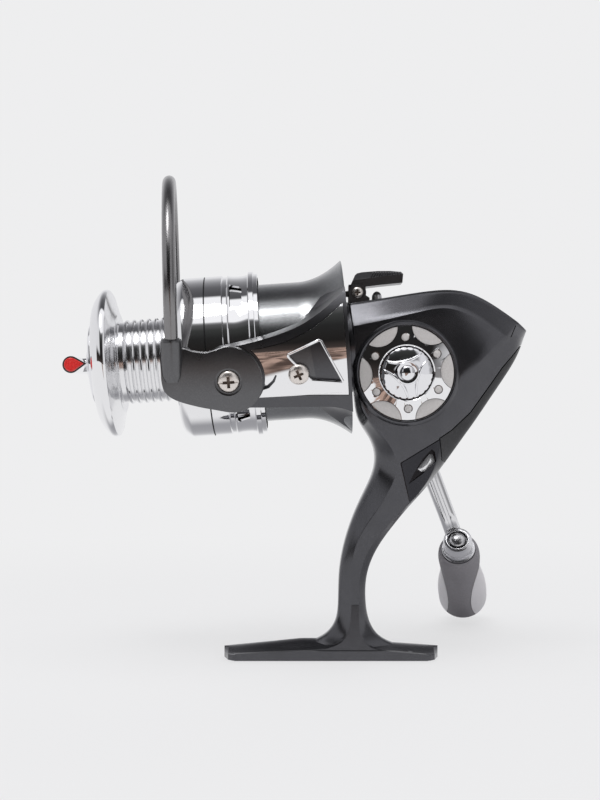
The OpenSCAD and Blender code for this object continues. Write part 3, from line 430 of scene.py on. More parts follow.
axis_z, axis_tilt = 102.7, 3.9
spool_axis = shift(0, 0, axis_z) @ turn(-90 - axis_tilt, "Y")
drive_axis = facing(24.033, 0, 94.215)
body_half = 15.2

# Rows from the foot up: height, X of the front and the rear edge, X of the side's two creases, and half the width
stem_rows = [
    (1.2, -18.0, 30.0, -6.0, 18.0, 4.4), (3.3, -12.5, 25.0, -3.0, 15.0, 4.6), (5.0, -7.5, 19.6, 1.6, 11.8, 4.7),
    (7.0, -2.8, 16.0, 4.4, 10.2, 4.9), (9.5, 0.0, 13.9, 5.9, 9.4, 5.2), (13.5, 2.1, 12.1, 6.4, 9.1, 5.7),
    (20.2, 2.3, 11.3, 6.7, 8.9, 6.1), (28.2, 2.3, 11.7, 6.4, 9.0, 6.2), (36.2, 3.6, 15.0, 7.2, 11.7, 6.9),
    (43.2, 5.6, 20.1, 10.2, 17.3, 7.7), (50.2, 8.3, 25.7, 15.4, 24.0, 8.8), (56.2, 11.3, 31.3, 19.1, 29.6, 9.9),
    (62.0, 14.0, 35.7, 21.5, 33.0, 11.2), (67.6, 14.6, 39.9, 20.9, 34.6, 12.6), (72.9, 12.9, 43.8, 17.4, 35.0, 13.8),
    (78.2, 8.8, 47.8, 12.0, 35.8, 14.7), (83.4, 7.9, 51.4, 8.8, 36.9, 15.2), (91.2, 7.35, 56.7, 8.1, 41.2, body_half),
    (99.6, 6.8, 62.2, 7.6, 49.6, body_half),
]
# Three corners between the side's creases: their places along it, and how far the upper rows rise there
stations = (0.25, 0.5, 0.71)
lifts = {17: (0.2, 0.6, 0.5), 18: (1.0, 2.6, 3.4)}
# Rows of the crown, as corners from the front middle round the side to the rear middle
crown_rows = [
    [(6.15, 0, 109.4), (6.15, 12.4, 109.4), (6.6, 15.0, 109.3), (18.4, 15.1, 111.7), (30.4, 15.1, 114.7),
     (39.8, 15.0, 116.4), (56.6, 12.8, 106.3), (61.6, 7.4, 106.1), (65.3, 0, 105.8)],
    [(5.65, 0, 116.7), (5.65, 8.4, 116.6), (5.9, 10.5, 116.3), (18.9, 10.4, 118.2), (32.0, 9.6, 120.55),
     (45.7, 8.4, 121.3), (60.9, 5.8, 110.6), (63.6, 3.4, 108.6), (65.4, 0, 107.4)],
    [(5.65, 0, 117.4), (5.65, 8.1, 117.3), (5.9, 10.2, 117.1), (18.9, 10.1, 119.0), (32.0, 9.3, 121.4),
     (45.8, 8.1, 122.2), (61.4, 5.5, 111.2), (64.0, 3.1, 109.2), (65.6, 0, 108.0)],
    [(5.8, 0, 117.9), (6.2, 0, 117.9), (7.5, 0, 118.0), (18.9, 0, 119.7), (32.0, 0, 122.0),
     (45.6, 0, 122.6), (60.8, 0, 112.2), (63.4, 0, 110.2), (65.1, 0, 108.8)],
]


def housing_corner(i, j):
    """Corner i of 16 round row j: front middle, near side, rear middle, far side."""
    hand = -1 if i <= 8 else 1
    i = min(i, 16 - i)
    if j > 18:
        x, y, z = crown_rows[j - 19][i]
        return Vector((x, hand * y, z))
    z, front, rear, left, right, half = stem_rows[j]
    line = [(front, 0, z), (front + 0.06 * (left - front), 0.46 * half, z), (left, half, z)]
    line += [(left + t * (right - left), half, z + up) for t, up in zip(stations, lifts.get(j, (0, 0, 0)))]
    line += [(right, half, z), (rear - 0.08 * (rear - right), 0.46 * half, z), (rear, 0, z)]
    x, y, z = line[i]
    return Vector((x, hand * y if j else 0.0, z))


def housing_crease(a, b):
    """Sharp along the side's creases and the crown's edges, softer down the stem's front and back."""
    (i, j), (k, _) = a, b
    i, k = min(i, 16 - i), min(k, 16 - k)
    if i == k:
        return {1: 0.3, 2: 0.95, 6: 0.95, 7: 0.3}.get(i, 0.0)
    return {19: 0.97, 20: 0.9, 21: 0.8}.get(j, 0.0) if min(i, k) >= 2 else 0.0


housing = worked(skin(16, 22, housing_corner, housing_crease), "SUBSURF", levels=3, render_levels=3)
foot_reach, foot_half, toe_length = 35.5, 7.85, 5


def foot_corner(i, j):
    """The foot's top: i along its length, j across it. A ledge by each side rises to the crest in the middle."""
    x = -foot_reach + 2 * foot_reach * i / 48
    across = -1 + 2 * j / 16
    past = max(0.0, abs(x) - (foot_reach - toe_length)) / toe_length
    wide = foot_half * math.sqrt(max(0.0, 1 - past ** 2)) + 0.04
    ledge = min(3.0, 3.0 + 0.036 * (x + 2), 3.0 - 0.075 * (x - 15))
    crest = min(6.2, 6.2 + 0.1 * (x + 10), 5.1 - 0.07 * (x - 16))
    rise = 1 - abs(across)
    return Vector((x, wide * across, ledge + (crest - ledge) * rise ** 2 * (3 - 2 * rise)))


def smooth_line(points, per=8):
    """A curve through the points, with per steps between two of them."""
    p = [Vector(q) for q in points]
    p = [2 * p[0] - p[1], *p, 2 * p[-1] - p[-2]]
    line = []
    for a, b, c, d in zip(p, p[1:], p[2:], p[3:]):
        for t in (k / per for k in range(per)):
            bend = (2 * a - 5 * b + 4 * c - d) * t ** 2 + (3 * b - a - 3 * c + d) * t ** 3
            line.append(0.5 * (2 * b + (c - a) * t + bend))
    return [*line, p[-2]]


def flat_line(points, per=8):
    return [(p.x, p.y) for p in smooth_line(points, per)]


foot = skin(48, 16, foot_corner)
for v in pulled(foot):
    v.co.z = 0
tidy(foot, 0.01)
rounded(foot, 0.3, 2, 40)
housing = united(housing, foot)
flank = flat_line([
    (-31.5, 2.25), (-11.6, 3.2), (-3.4, 3.55), (1.6, 4.9), (4.4, 7.1), (5.75, 10.0), (6.35, 13.5), (6.6, 18.0)], 5)
flank += flat_line([(9.0, 18.0), (9.1, 13.5), (9.45, 9.0), (11.2, 5.7), (14.6, 3.6), (23.2, 2.8), (31.2, 2.0)], 5)
flank += [(32.1, 0.7), (31.6, 0.0), (-31.8, 0.0), (-32.4, 0.8)]
# A web on each side of the stem's root stands on the foot, steps back above it and leans in
step_back, lean = 0.95, 0.054
for hand in (-1, 1):
    web = side(flank, *sorted((hand * 8.0, hand * 5.2)))
    for level in (3.2, 3.3, *(4 + k * 1.2 for k in range(12))):
        sliced(web, (0, 0, level), (0, 0, 1))
    for v in web.verts:
        if v.co.z > 3.25:
            v.co.y -= math.copysign(step_back + lean * (v.co.z - 3.3), v.co.y)
    rounded(tidy(web), 0.22, 2, 60, lambda co: abs(co.y) > 5.6 and co.z < 14)
    housing = united(housing, web)

trim_line = [(62.6, 103.4), (56.1, 96.1), (51.6, 89.7), (45.6, 81.4), (39.2, 75.6), (35.0, 73.0), (36.2, 65.6)]
trim_back = [(48, 58), (76, 94), (69, 104)]
trim_shape = side(trim_line + trim_back, -30, 30)
gap_line = [(x - 0.32, z + 0.2) for x, z in trim_line] + trim_back
trim_room = side(gap_line, -30, 30)
cover_form = housing.copy()
trim_form = housing.copy()
# The housing keeps its wall round the end of the slider's path, and the strip is hollowed to clear it
slide_room = [(-19.0, -5.4), (20.0, -5.4), (20.0, 4.0), (-19.0, 4.0)]
trim_room = cut(trim_room, moved(prism(slide_room, -49.8, 0), spool_axis))
wider_room = [(up - 0.1, y * 1.02) for up, y in slide_room]
trim_form = cut(trim_form, moved(prism(wider_room, -49.9, 0), spool_axis))
housing = cut(housing, trim_room)


def far_wall(low, near):
    """All that lies above low and farther out than near on the handle's side."""
    return side([(-20, low), (90, low), (90, 140), (-20, 140)], near, 40)


housing = cut(housing, far_wall(72.7, 8.7))
gem_well = [(32.4, 69.6), (33.4, 68.6), (33.9, 65.6), (29.5, 61.4), (25.0, 58.0), (26.6, 61.4), (29.6, 66.6)]
housing = cut(housing, side(gem_well, -40, -9.6))
groove_half = 0.15
grooves = [((22.4, 65.0), (35.0, 72.8), 11.0), ((22.4, 65.0), (25.4, 52.4), 8.6), ((60.6, 110.0), (58.3, 105.9), 4.0)]
for start, end, deep in grooves:
    start, end = Vector(start), Vector(end)
    across = Vector((end.y - start.y, start.x - end.x)).normalized() * groove_half
    housing = cut(housing, side([start + across, end + across, end - across, start - across], -40, -deep))
# The panel round the gem, behind the first two grooves, is a deeper black
panel_black = surface(
    "panel_black", (0.036, 0.036, 0.041), (0.075, 0.075, 0.083), (15000, 0.2), (0.18, 0.23, 60), (1800, 0.03),
    Metallic=0.9)
corner = Vector(grooves[0][0])
over, down = (Vector(end) - corner for _, end, _ in grooves[:2])
painted(housing, lambda at: at.y < 0 and over.cross(at.xz - corner) < 0 < down.cross(at.xz - corner))
bearing_seat = lathe([(0, -9.7), (15, -9.7), (15, -6.2), (14, -6.2), (14, 3.9), (11.5, 3.9), (11.5, -9.0), (0, -9.0)])
moved(bearing_seat, spool_axis)
recess_rim = lathe([
    (15.5, -13.4), (15.5, -15.75), (15.7, -16.0), (16.0, -16.05), (16.5, -15.85), (17.0, -15.3), (17.2, -15.0),
    (17.2, -13.4)], 160, True)
moved(recess_rim, drive_axis)
faceted = 15
piece(
    "housing_shell", joined(housing, bearing_seat, recess_rim), [black_lacquer, panel_black], "frame", ["gear_housing"],
    smooth=faceted)

# ---- Side cover ----
# The far wall of the gear box, a second casting in the same lacquer, with a turned neck round the handle's bearing and
# four counterbored screw holes.


def common(bm, tool):
    return worked(bm, "BOOLEAN", tool, operation="INTERSECT")


cover = common(cover_form, far_wall(72.95, 8.85))
cover = cut(cover, side(gap_line, -30, 30))
screw_holes = [(12.5, 111.2), (48.0, 110.7), (39.0, 78.7), (15.5, 78.2)]
hole_r, hole_floor = 2.55, 10.4
for x, z in screw_holes:
    hole = lathe([(0, hole_floor), (hole_r, hole_floor), (hole_r, 30), (0, 30)], 40)
    cover = cut(cover, moved(hole, facing(x, 0, z)))
neck = lathe([
    (4.5, 12), (12.2, 12), (12.2, 15.0), (11.4, 15.6), (9.6, 16.0), (8.9, 16.6), (8.6, 17.9), (8.3, 18.2), (4.5, 18.2)],
    96, True)
cover = joined(cover, moved(neck, drive_axis))
piece("side_cover_shell", cover, black_lacquer, "frame", ["side_cover"], smooth=faceted)

# ---- Rear trim ----
# A matt moulded strip let into the lower rear edge of both castings, behind a shadow gap.
# It follows the castings' own outer form.
trim_plastic = surface(
    "trim_plastic", (0.016, 0.016, 0.018), (0.05, 0.05, 0.055), (3600, 0.12), (0.42, 0.55, 70), (2400, 0.12),
    Specular_IOR_Level=0.4)
strip = common(trim_form, trim_shape)
piece("rear_trim_strip", strip, trim_plastic, "frame", ["rear_trim"], smooth=faceted)

# ---- Cover screws ----
# Four nickel-plated pan-head screws with cross recesses, which draw the side cover to the housing.
# Their heads lie in its counterbores.


def bare_metal(name, ground, lift, gloss, grain, flecks=(6000, 0.3), metallic=1.0):
    """A metal or plated finish whose flecks are lighter than its ground by lift."""
    return surface(name, ground, [c + lift for c in ground], flecks, gloss, grain, Metallic=metallic)


coarse = (5000, 0.3)
nickel = bare_metal("nickel_plate", (0.76, 0.71, 0.67), 0.04, (0.24, 0.31, 80), (5000, 0.01), coarse, 0.92)
# The cross recesses get a dark brown finish: painted shade in the recess.
recess_shade = surface(
    "recess_shade_paint", (0.10, 0.075, 0.06), (0.20, 0.16, 0.14), (3000, 0.3), (0.35, 0.5, 150), (3000, 0.1),
    Metallic=0.8)
screw_finish = [nickel, recess_shade]


def block(low, high):
    (x0, y0, z0), (x1, y1, z1) = low, high
    return prism([(x0, y0), (x1, y0), (x1, y1), (x0, y1)], z0, z1)


def cross_screw(r, rise, shank, slotted=False, roll=0):
    """A domed head that stands rise high on z = 0, with a cross recess, and its shank below."""
    dome = [(0, 1), (0.3, 0.985), (0.55, 0.9), (0.75, 0.74), (0.9, 0.5), (0.985, 0.2), (1, 0), (0.42, 0)]
    head = lathe([*((x * r, z * rise) for x, z in dome), (0.42 * r, -shank), (0, -shank)], 48)
    for way in (roll, roll + 90):
        arm = block((-0.5 * r, -0.13 * r, 0.2 * rise), (0.5 * r, 0.13 * r, 2 * rise))
        head = cut(head, moved(arm, turn(way, "Z")))
    if slotted:
        slot = block((-1.2 * r, -0.1 * r, 0.52 * rise), (1.2 * r, 0.1 * r, 2 * rise))
        head = cut(head, moved(slot, turn(roll, "Z")))
    # Faces down in the recess take the second finish, the painted shade.
    return painted(head, lambda at: 0 < at.z < 0.66 * rise and at.xy.length < 0.56 * r)


heads = []
for k, (x, z) in enumerate(screw_holes):
    heads.append(moved(cross_screw(2.3, 1.5, 6, roll=25 * k), facing(x, hole_floor + 0.02, z)))
piece("cover_screw_set", joined(*heads), screw_finish, "frame", ["cover_screws"])

# ---- Stem gem ----
# A cut plastic jewel, brightly metallised, pressed into a blade-shaped well in the housing's lower panel.
# Its facets rise to a point in the middle.
jewel_silver = bare_metal("jewel_silver", (0.86, 0.86, 0.87), 0.06, (0.28, 0.36, 60), (4000, 0.02), coarse, 0.7)
gem_line = [(28.0, 63.1), (29.1, 62.2), (30.9, 62.2), (33.0, 64.3), (33.6, 65.5), (32.9, 67.7), (31.7, 67.8)]
gem = side(gem_line, -10.5, -9.5)
outer_face = min(gem.faces, key=lambda f: f.calc_center_median().y)
bmesh.ops.inset_region(gem, faces=[outer_face], thickness=1.1, depth=0.9, use_even_offset=True)
bmesh.ops.poke(gem, faces=[outer_face], offset=0.4)
piece("stem_jewel", gem, jewel_silver, "frame", ["stem_gem"], smooth=8)

# ---- Side disc ----
# A chromed pressing let into the housing's round recess. Six lens-shaped pads of matt grey sit in its pockets, and six
# small rivets hold it down.
chrome = bare_metal("chrome", (0.87, 0.87, 0.88), 0.02, (0.02, 0.035, 40), (6000, 0.003))
matt_grey = bare_metal(
    "matt_grey", (0.52, 0.50, 0.49), 0.08, (0.50, 0.62, 90), (3200, 0.10), (4200, 0.4), 0.2)
disc_axis = drive_axis @ turn(-2.3, "Z")


def round_about(place, count, start=0.0):
    """The places of count copies round the z axis."""
    return [turn(start + 360 * k / count, "Z") @ place for k in range(count)]


def arc(x, y, r, start, end, steps=16):
    return [(x + r * math.cos(a), y + r * math.sin(a)) for a in
        (math.radians(start + (end - start) * k / steps) for k in range(steps + 1))]


def rod(r, low, high, steps=48):
    return lathe([(0, low), (r, low), (r, high), (0, high)], steps)


def repeated(bm, places):
    """Copies of one bmesh at several places, as one bmesh; it is used up."""
    whole = joined(*[moved(bm.copy(), place) for place in places])
    bm.free()
    return whole


pocket_ring, stud_ring = 17.3, 11.5
stud_places = round_about(shift(stud_ring, 0, 0), 6, 30)
plate = lathe([
    (8.75, -14.45), (15.35, -14.45), (15.35, -15.5), (15.15, -15.68), (13.2, -16.0), (11.2, -16.3), (9.15, -16.55),
    (8.75, -16.3)], 144, True)
for place in round_about(shift(pocket_ring, 0, 0), 6):
    plate = cut(plate, moved(rod(6.45, -17, -15.1, 72), place))
plate = cut(plate, repeated(rod(1.45, -17, -15.7, 32), stud_places))
rounded(plate, 0.2, 2, 45)
piece("side_disc", plate, chrome, "frame", ["disc_plate"], disc_axis)

# A pad is the lens between the disc's edge and its pocket's round
reach, big, small = pocket_ring, 15.2, 6.3
along = (reach ** 2 + big ** 2 - small ** 2) / (2 * reach)
outer_swing = math.degrees(math.acos(along / big))
inner_swing = math.degrees(math.acos((reach - along) / small))
lens = arc(0, 0, big, -outer_swing, outer_swing, 16)
lens += arc(reach, 0, small, 180 - inner_swing, 180 + inner_swing, 24)[1:-1]
pad = rounded(prism(lens, -15.72, -14.6), 0.16, 2, 50, lambda co: co.z < -15.7)
pads = repeated(pad, round_about(Matrix(), 6))
piece("side_disc_pads", pads, matt_grey, "frame", ["disc_pads"], disc_axis)
stud = lathe([(0, -16.5), (0.85, -16.48), (1.1, -16.35), (1.2, -16.1), (1.2, -14.7), (0, -14.7)], 32)
studs = repeated(stud, stud_places)
piece("side_disc_rivets", studs, matt_grey, "frame", ["disc_studs"], disc_axis)

# ---- Handle screw cap ----
# The metallised cap of the screw that goes through the drive shaft to the handle. Its edge is notched for the fingers,
# and three raised blades sweep round a domed boss.
bright_plastic = bare_metal("metallised_plastic", (0.83, 0.83, 0.85), 0.02, (0.03, 0.05, 40), (6000, 0.004))


def swept(path, radius, sides=16):
    """A round bar along a path; radius(t) is its size from t = 0 to t = 1."""
    path = [Vector(p) for p in path]
    last = len(path) - 1
    across = None
    frames = []
    for k in range(last + 1):
        ahead = (path[min(k + 1, last)] - path[max(k - 1, 0)]).normalized()
        across = ahead.orthogonal() if across is None else across - ahead * across.dot(ahead)
        across.normalize()
        frames.append((across, ahead.cross(across)))

    def corner(i, j):
        a = math.tau * i / sides
        return path[j] + radius(j / last) * (frames[j][0] * math.cos(a) + frames[j][1] * math.sin(a))

    return skin(sides, last, corner)


cap = lathe([
    (0, -14.8), (7.6, -14.8), (8.2, -15.2), (8.3, -15.5), (8.3, -16.5), (8.0, -16.85), (6.9, -17.25), (5.4, -17.6),
    (4.2, -17.85), (3.9, -18.0), (3.75, -18.7), (3.4, -19.0), (2.7, -18.95), (2.4, -18.8), (2.25, -19.1), (1.7, -19.5),
    (0.9, -19.66), (0, -19.7)], 120)
cap = cut(cap, repeated(rod(0.52, -18, -15.6, 16), round_about(shift(8.55, 0, 0), 24)))
blade, shoulder_r = [], 6.9
for p in smooth_line([(-7.3, 3.75), (-3.2, 3.2), (1.4, 4.3), (5.0, 6.4)]):
    inside, outside = max(0.0, shoulder_r - p.length), max(0.0, p.length - shoulder_r)
    blade.append((p.x, -p.y, -17.28 - 0.6 * inside / 2.9 + 0.5 * outside))
blades = repeated(swept(blade, lambda t: 0.55 * math.sin(math.pi * t) ** 0.3, 12), round_about(Matrix(), 3))
piece("handle_screw_cap", joined(cap, blades), bright_plastic, "crank", ["handle_cap"], drive_axis)

# ---- Anti-reverse lever ----
# A satin black thumb lever with a serrated pad, hinged on a cross screw between the cheeks of a bracket that is screwed
# to the top of the housing. A plated peg behind it stops its travel.
satin_black = surface(
    "satin_black", (0.135, 0.135, 0.14), (0.175, 0.175, 0.182), (6000, 0.3), (0.27, 0.33, 60), (2600, 0.03),
    Metallic=0.97)


def closed(bm):
    bmesh.ops.holes_fill(bm, edges=[e for e in bm.edges if e.is_boundary])
    return bm


hinge = (8.6, 120.9)
cheek = [(5.8, 116.3), (12.6, 116.3), (12.6, 119.2), *arc(*hinge, 2.9, -18, 198)]
near_cheek = side(cheek, -5.5, -3.35)
near_cheek = cut(near_cheek, side([(9.15, 115), (9.35, 115), (9.35, 118.1), (9.15, 118.1)], -6, -5.2))
near_cheek = cut(near_cheek, side(arc(*hinge, 2.25, 0, 345, 23), -6, -5.0))
bracket = joined(near_cheek, side(cheek, 3.35, 5.5), block((6.25, -5.5, 116.3), (13.1, 5.5, 117.7)))
piece("lever_bracket_shell", rounded(bracket, 0.22, 2, 50), satin_black, "frame", ["lever_bracket"])
head = moved(cross_screw(2.05, 1.15, 3), facing(hinge[0], -5.0, hinge[1], -1))
shank = moved(rod(1.0, -5.2, 5.4, 24), facing(hinge[0], 0, hinge[1]))
piece("lever_hinge_screw", joined(head, shank), screw_finish, "frame", ["lever_screw"])
bright_steel = bare_metal("bright_steel", (0.66, 0.66, 0.67), 0.04, (0.26, 0.34, 80), (5000, 0.015), coarse, 0.95)
peg = lathe([(0, 121.7), (0.6, 121.55), (1.2, 121.1), (1.6, 120.4), (1.7, 119.8), (1.7, 116.4), (0, 116.4)], 40)
piece("lever_stop_peg", peg, bright_steel, "frame", ["lever_stop"], shift(15.3, 0, 0))

knuckle = side([*arc(*hinge, 2.85, 180, 360, 12), (11.4, 123.7), (5.8, 123.7)], -3.1, 3.1)
pad = side([
    *arc(*hinge, 3.1, 40, 152, 12), (7.9, 126.9), (8.6, 127.55), (10.2, 127.95), (12.0, 128.1), (15.6, 128.35),
    (19.6, 128.3), (23.1, 127.9), (23.75, 127.1), (23.5, 124.25), (15.6, 123.45), (13.6, 123.2)], -4.4, 4.4)
slope = [Vector(p) for p in ((9.0, -1.0, 128.2), (13.4, -4.4, 125.9), (23.8, -4.4, 127.2))]
out_way = (slope[1] - slope[0]).cross(slope[2] - slope[0]).normalized()
out_way *= math.copysign(1, out_way.z)
sliced(pad, slope[0], out_way, clear_outer=True)
rounded(tidy(closed(pad)), 0.25, 2, 25)
along_way = (slope[2] - slope[1]).normalized()
cross_way = out_way.cross(along_way)
lie = Matrix((along_way, cross_way, out_way)).transposed().to_4x4()
serrations = []
for k in range(12):
    half = 1.5 - 0.1 * k
    start = slope[1] + along_way * (0.3 + 0.85 * k) + cross_way * (half + 0.1)
    ridge_bar = prism([(-0.34, -0.1), (0.34, -0.1), (0, 0.42)], -half, half)
    serrations.append(moved(ridge_bar, Matrix.Translation(start) @ lie @ turn(-18, "Z") @ turn(90, "X")))
finger = side([(6.6, 119.9), (-1.2, 119.3), (-1.2, 120.7), (6.6, 121.9)], -1.2, 1.2)
lever = joined(knuckle, pad, finger, *serrations)
piece("thumb_lever", lever, satin_black, "reverse_lever", ["anti_reverse_lever"])

# ---- Rotor ----
# A die-cast cup that flares at the back, lacquered graphite grey with metal flake, with two arms that carry the bail.
# The arms are bent to the rotor's round and end in the bail's pivots.
graphite = surface(
    "graphite_lacquer", (0.25, 0.255, 0.26), (0.47, 0.48, 0.49), (9000, 0.35), (0.20, 0.25, 60), (2200, 0.04),
    Metallic=1.0, Coat_Weight=0.2, Coat_Roughness=0.05)
arm_black = surface(
    "arm_lacquer", (0.10, 0.10, 0.107), (0.15, 0.15, 0.16), (14000, 0.25), (0.27, 0.33, 60), (2200, 0.03),
    Metallic=0.97)
rotor_turn = 14.5
rotor_axis = spool_axis @ turn(-rotor_turn, "Z")
cup_r, cup_wall = 22.7, 2


def flare(f):
    return cup_r + 6.3 * max(0.0, (10 - f) / 15) ** 2


steps = [-5 + 15 * k / 16 for k in range(17)]
cup = lathe([
    *((flare(f), f) for f in steps), (cup_r, 32.2), (22.4, 32.5), (21.0, 32.5), (20.7, 32.2), (20.7, 28.0), (5.1, 28.0),
    (5.1, 19.0), (7.9, 19.0), (8.9, 25.0), (20.7, 25.0), *((flare(f) - cup_wall, f) for f in reversed(steps))],
    144, True)
rounded(cup, 0.35, 2, 50)
piece("rotor_cup", cup, graphite, "rotor", ["rotor"], rotor_axis)


def wrapped(outline, inner, outer, hand, strips=36):
    """A plate of (f, up) outline on the near side (-1) or the far (1), between two radii or two depths by height."""
    bm = bmesh.new()
    bm.faces.new([bm.verts.new((up, 0, f)) for f, up in outline])
    low = min(up for f, up in outline)
    high = max(up for f, up in outline)
    for k in range(1, strips):
        sliced(bm, (low + (high - low) * k / strips, 0, 0), (1, 0, 0), dist=0.0005)
    outside = set(pulled(bm))
    for v in bm.verts:
        reach = outer if v in outside else inner
        v.co.y = hand * (reach(v.co.x) if callable(reach) else math.sqrt(max(0.0, reach ** 2 - v.co.x ** 2)))
    return tidy(bm)


pivot_f, arm_end_r = 33, 9.5
arm_inner, arm_outer, web_outer = 28.3, 34.0, 33.7
arm_top = flat_line([
    (-4.95, 24), (-1.5, 21.4), (2.6, 18.6), (9, 15.1), (15, 13.0), (21, 11.5), (27, 10.4), (pivot_f, arm_end_r)], 4)
arm_low = flat_line([(pivot_f, -arm_end_r), (21, -10.4), (9, -11.1), (0, -12), (-4.95, -14)], 4)
arm_line = arm_top + arc(pivot_f, 0, arm_end_r, 90, -90, 24)[1:-1] + arm_low
# The edges of the webs that sweep from the cup up to an arm's upper and lower edge, as (f, up, depth) on the cup
web_top = [
    (8.4, 14.2, 17.9), (5.6, 17.2, 15.6), (2.8, 20.6, 12.2), (0, 24.0, 7.8), (-2.6, 26.6, 2.9), (-4.8, 28.3, -2.0)]
web_low = [
    (8.4, -12.6, 19.2), (5.0, -15.6, 17.6), (2.0, -18.6, 16.4), (-1.0, -21.4, 15.6), (-3.2, -23.4, 15.0),
    (-4.8, -25.0, 14.4)]


def cover_outline(gap):
    """The arm cover's edge, drawn in by gap; its front is round about the bail's pivot."""
    top = [(-4 + gap, 20.4), (-0.6, 18.2), (2.6, 15.9), (9, 12.4), (15.5, 10.1), (22, 8.9), (25.6, 8.5)]
    low = [(24.0, -6.8), (9, -7.1), (-4 + gap, -8)]
    top, low = [(f, up - gap) for f, up in top], [(f, up + gap) for f, up in low]
    return flat_line(top, 4) + arc(pivot_f, 0, 11 + gap, 129, 217.5, 14) + flat_line(low, 4)


arms = []
for hand in (-1, 1):
    arm = rounded(wrapped(arm_line, arm_inner, arm_outer, hand), 0.6, 3, 40)
    arm = cut(arm, wrapped(cover_outline(0.0), 32.35, 37, hand))
    root = wrapped([(-4.85, 23.6), (1.5, 19.2), (8, 15.4), (5, -11.3), (0, -11.9), (-4.85, -13.8)], 24.2, 33.0, hand)
    arms += [cut(arm, moved(rod(2.4, 20, 40, 40), facing(0, 0, pivot_f, hand))), root]
    for cup_edge, arm_edge, way in ((web_top, arm_top, -1), (web_low, arm_low, 1)):
        def web_corner(i, j):
            """i runs from the cup to the arm's edge, j from front to rear; the middle is hollowed."""
            f, up, near = cup_edge[j]
            edge = min(arm_edge, key=lambda p: abs(p[0] - f))[1] + 0.25 * way
            outer = math.sqrt(web_outer ** 2 - edge ** 2)
            t = i / 6
            hollow = 1.6 * math.sin(math.pi * t) * way
            return Vector((up + (edge - up) * t + hollow, hand * (near + (outer - near) * t), f))

        web = skin(6, 5, web_corner)
        bmesh.ops.translate(web, vec=(way * 4.0, 0, 0), verts=pulled(web))
        arms.append(tidy(web))
# A bright ring round the cup's nose shows through the windows of the spool's skirt
nose_ring = lathe([(22.6, 26.4), (24.4, 26.6), (24.7, 27.0), (24.7, 31.8), (24.4, 32.2), (22.6, 32.4)], 144, True)
piece("rotor_nose_ring", nose_ring, chrome, "rotor", (), rotor_axis)
piece("rotor_arms", joined(*arms), arm_black, "rotor", ["rotor"], rotor_axis)

# ---- Arm covers ----
# Chromed pressings let flush into the outside of each arm. Each has a slanted window in a raised frame, a curved slit
# beside the pivot, and one cross-headed screw.
cover_r = 33.95
window = [(14.6, 6.2), (4, 10.2), (-2.4, -3.6), (7.6, -2.2)]
window_floor = [(15.2, 6.6), (4.0, 10.9), (-3.2, -4.2), (7.5, -2.8)]
slit = [(23.6, -4.6), (20.8, -3.8), (18.9, -1.9), (18.1, 0.1), (18.6, 0.3), (19.5, -1.3), (21.2, -2.7), (23.6, -3.3)]

for hand, name, node in ((-1, "near_cover", "near_arm_cover"), (1, "far_cover", "far_arm_cover")):
    plate = rounded(wrapped(cover_outline(0.2), 32.45, cover_r, hand, 60), 0.25, 2, 45)
    plate = cut(plate, wrapped(window, 30, 37, hand, 24))
    plate = cut(plate, wrapped(slit, 30, 37, hand, 12))
    loop = []
    for a, b in zip(window, window[1:] + window[:1]):
        for t in (0.04, 0.12, 0.25, 0.38, 0.5, 0.62, 0.75, 0.88, 0.96):
            loop.append((a[0] + t * (b[0] - a[0]), a[1] + t * (b[1] - a[1])))
    rim = [(up, hand * math.sqrt(cover_r ** 2 - up * up), f) for f, up in [*loop, loop[0]]]
    frame_bead = swept(rim, lambda t: 0.42, 10)
    backing = wrapped(window_floor, 32.3, 32.75, hand, 24)
    painted(backing, lambda at: 1)
    piece(name, joined(plate, frame_bead, backing), [chrome, satin_black], "rotor", [node], rotor_axis)


def screw_pair(depth, f, *screw):
    """Two like screws, one on each side of the rotor, as cross_screw makes them."""
    return repeated(cross_screw(*screw), [facing(0, hand * depth, f, hand) for hand in (-1, 1)])


heads = screw_pair(cover_r, 11.3, 3.3, 1.45, 3.5, False, 20)
piece("arm_screw_set", heads, screw_finish, "rotor", ["arm_cover_screws"], rotor_axis)

# ---- Bail ----
# Two satin black levers pivot on slotted cross screws at the arm ends and carry a thick dark wire hoop. The far lever
# holds the line roller.
heads = screw_pair(37.12, pivot_f, 3.6, 1.6, 8.0, True, 90)
piece("bail_pivot_screws", heads, screw_finish, "rotor", ["bail_pivots"], rotor_axis)

lever_inner, lever_r = 34.45, 39
hoop_r, wire_r, hoop_skew = 36.5, 2.1, 3.2
hoop_f = 49.7 + hoop_r * math.sin(math.radians(hoop_skew))
hoop_axis = rotor_axis @ shift(10.5, 0, hoop_f) @ turn(3.4, "Y") @ turn(hoop_skew, "X")
lever_points = [
    (20.4, 5.0), (20.3, 9.4), (19.4, 11.0), (17.0, 11.4), (13.8, 11.1), (10.2, 9.9), (6.3, 9.2), (3.0, 9.9),
    (0.2, 10.6), (-3.0, 10.2), (-5.9, 8.7), (-8.4, 6.2), (-10.0, 2.9), (-10.4, -0.6), (-9.6, -4.2), (-7.4, -7.4),
    (-4.2, -9.4), (-0.5, -9.8), (4.9, -8.5), (10.6, -6.9), (16.4, -4.6), (19.5, -2.0), (20.4, 1.2),
]
lever_line = [(pivot_f + f, up) for f, up in flat_line([*lever_points, lever_points[0]], 5)[:-1]]


def lever_depth(up):
    """The levers' outer face: round, and leaning in towards the top."""
    return math.sqrt(lever_r ** 2 - up * up) - 0.03 - 0.065 * (up + 10)


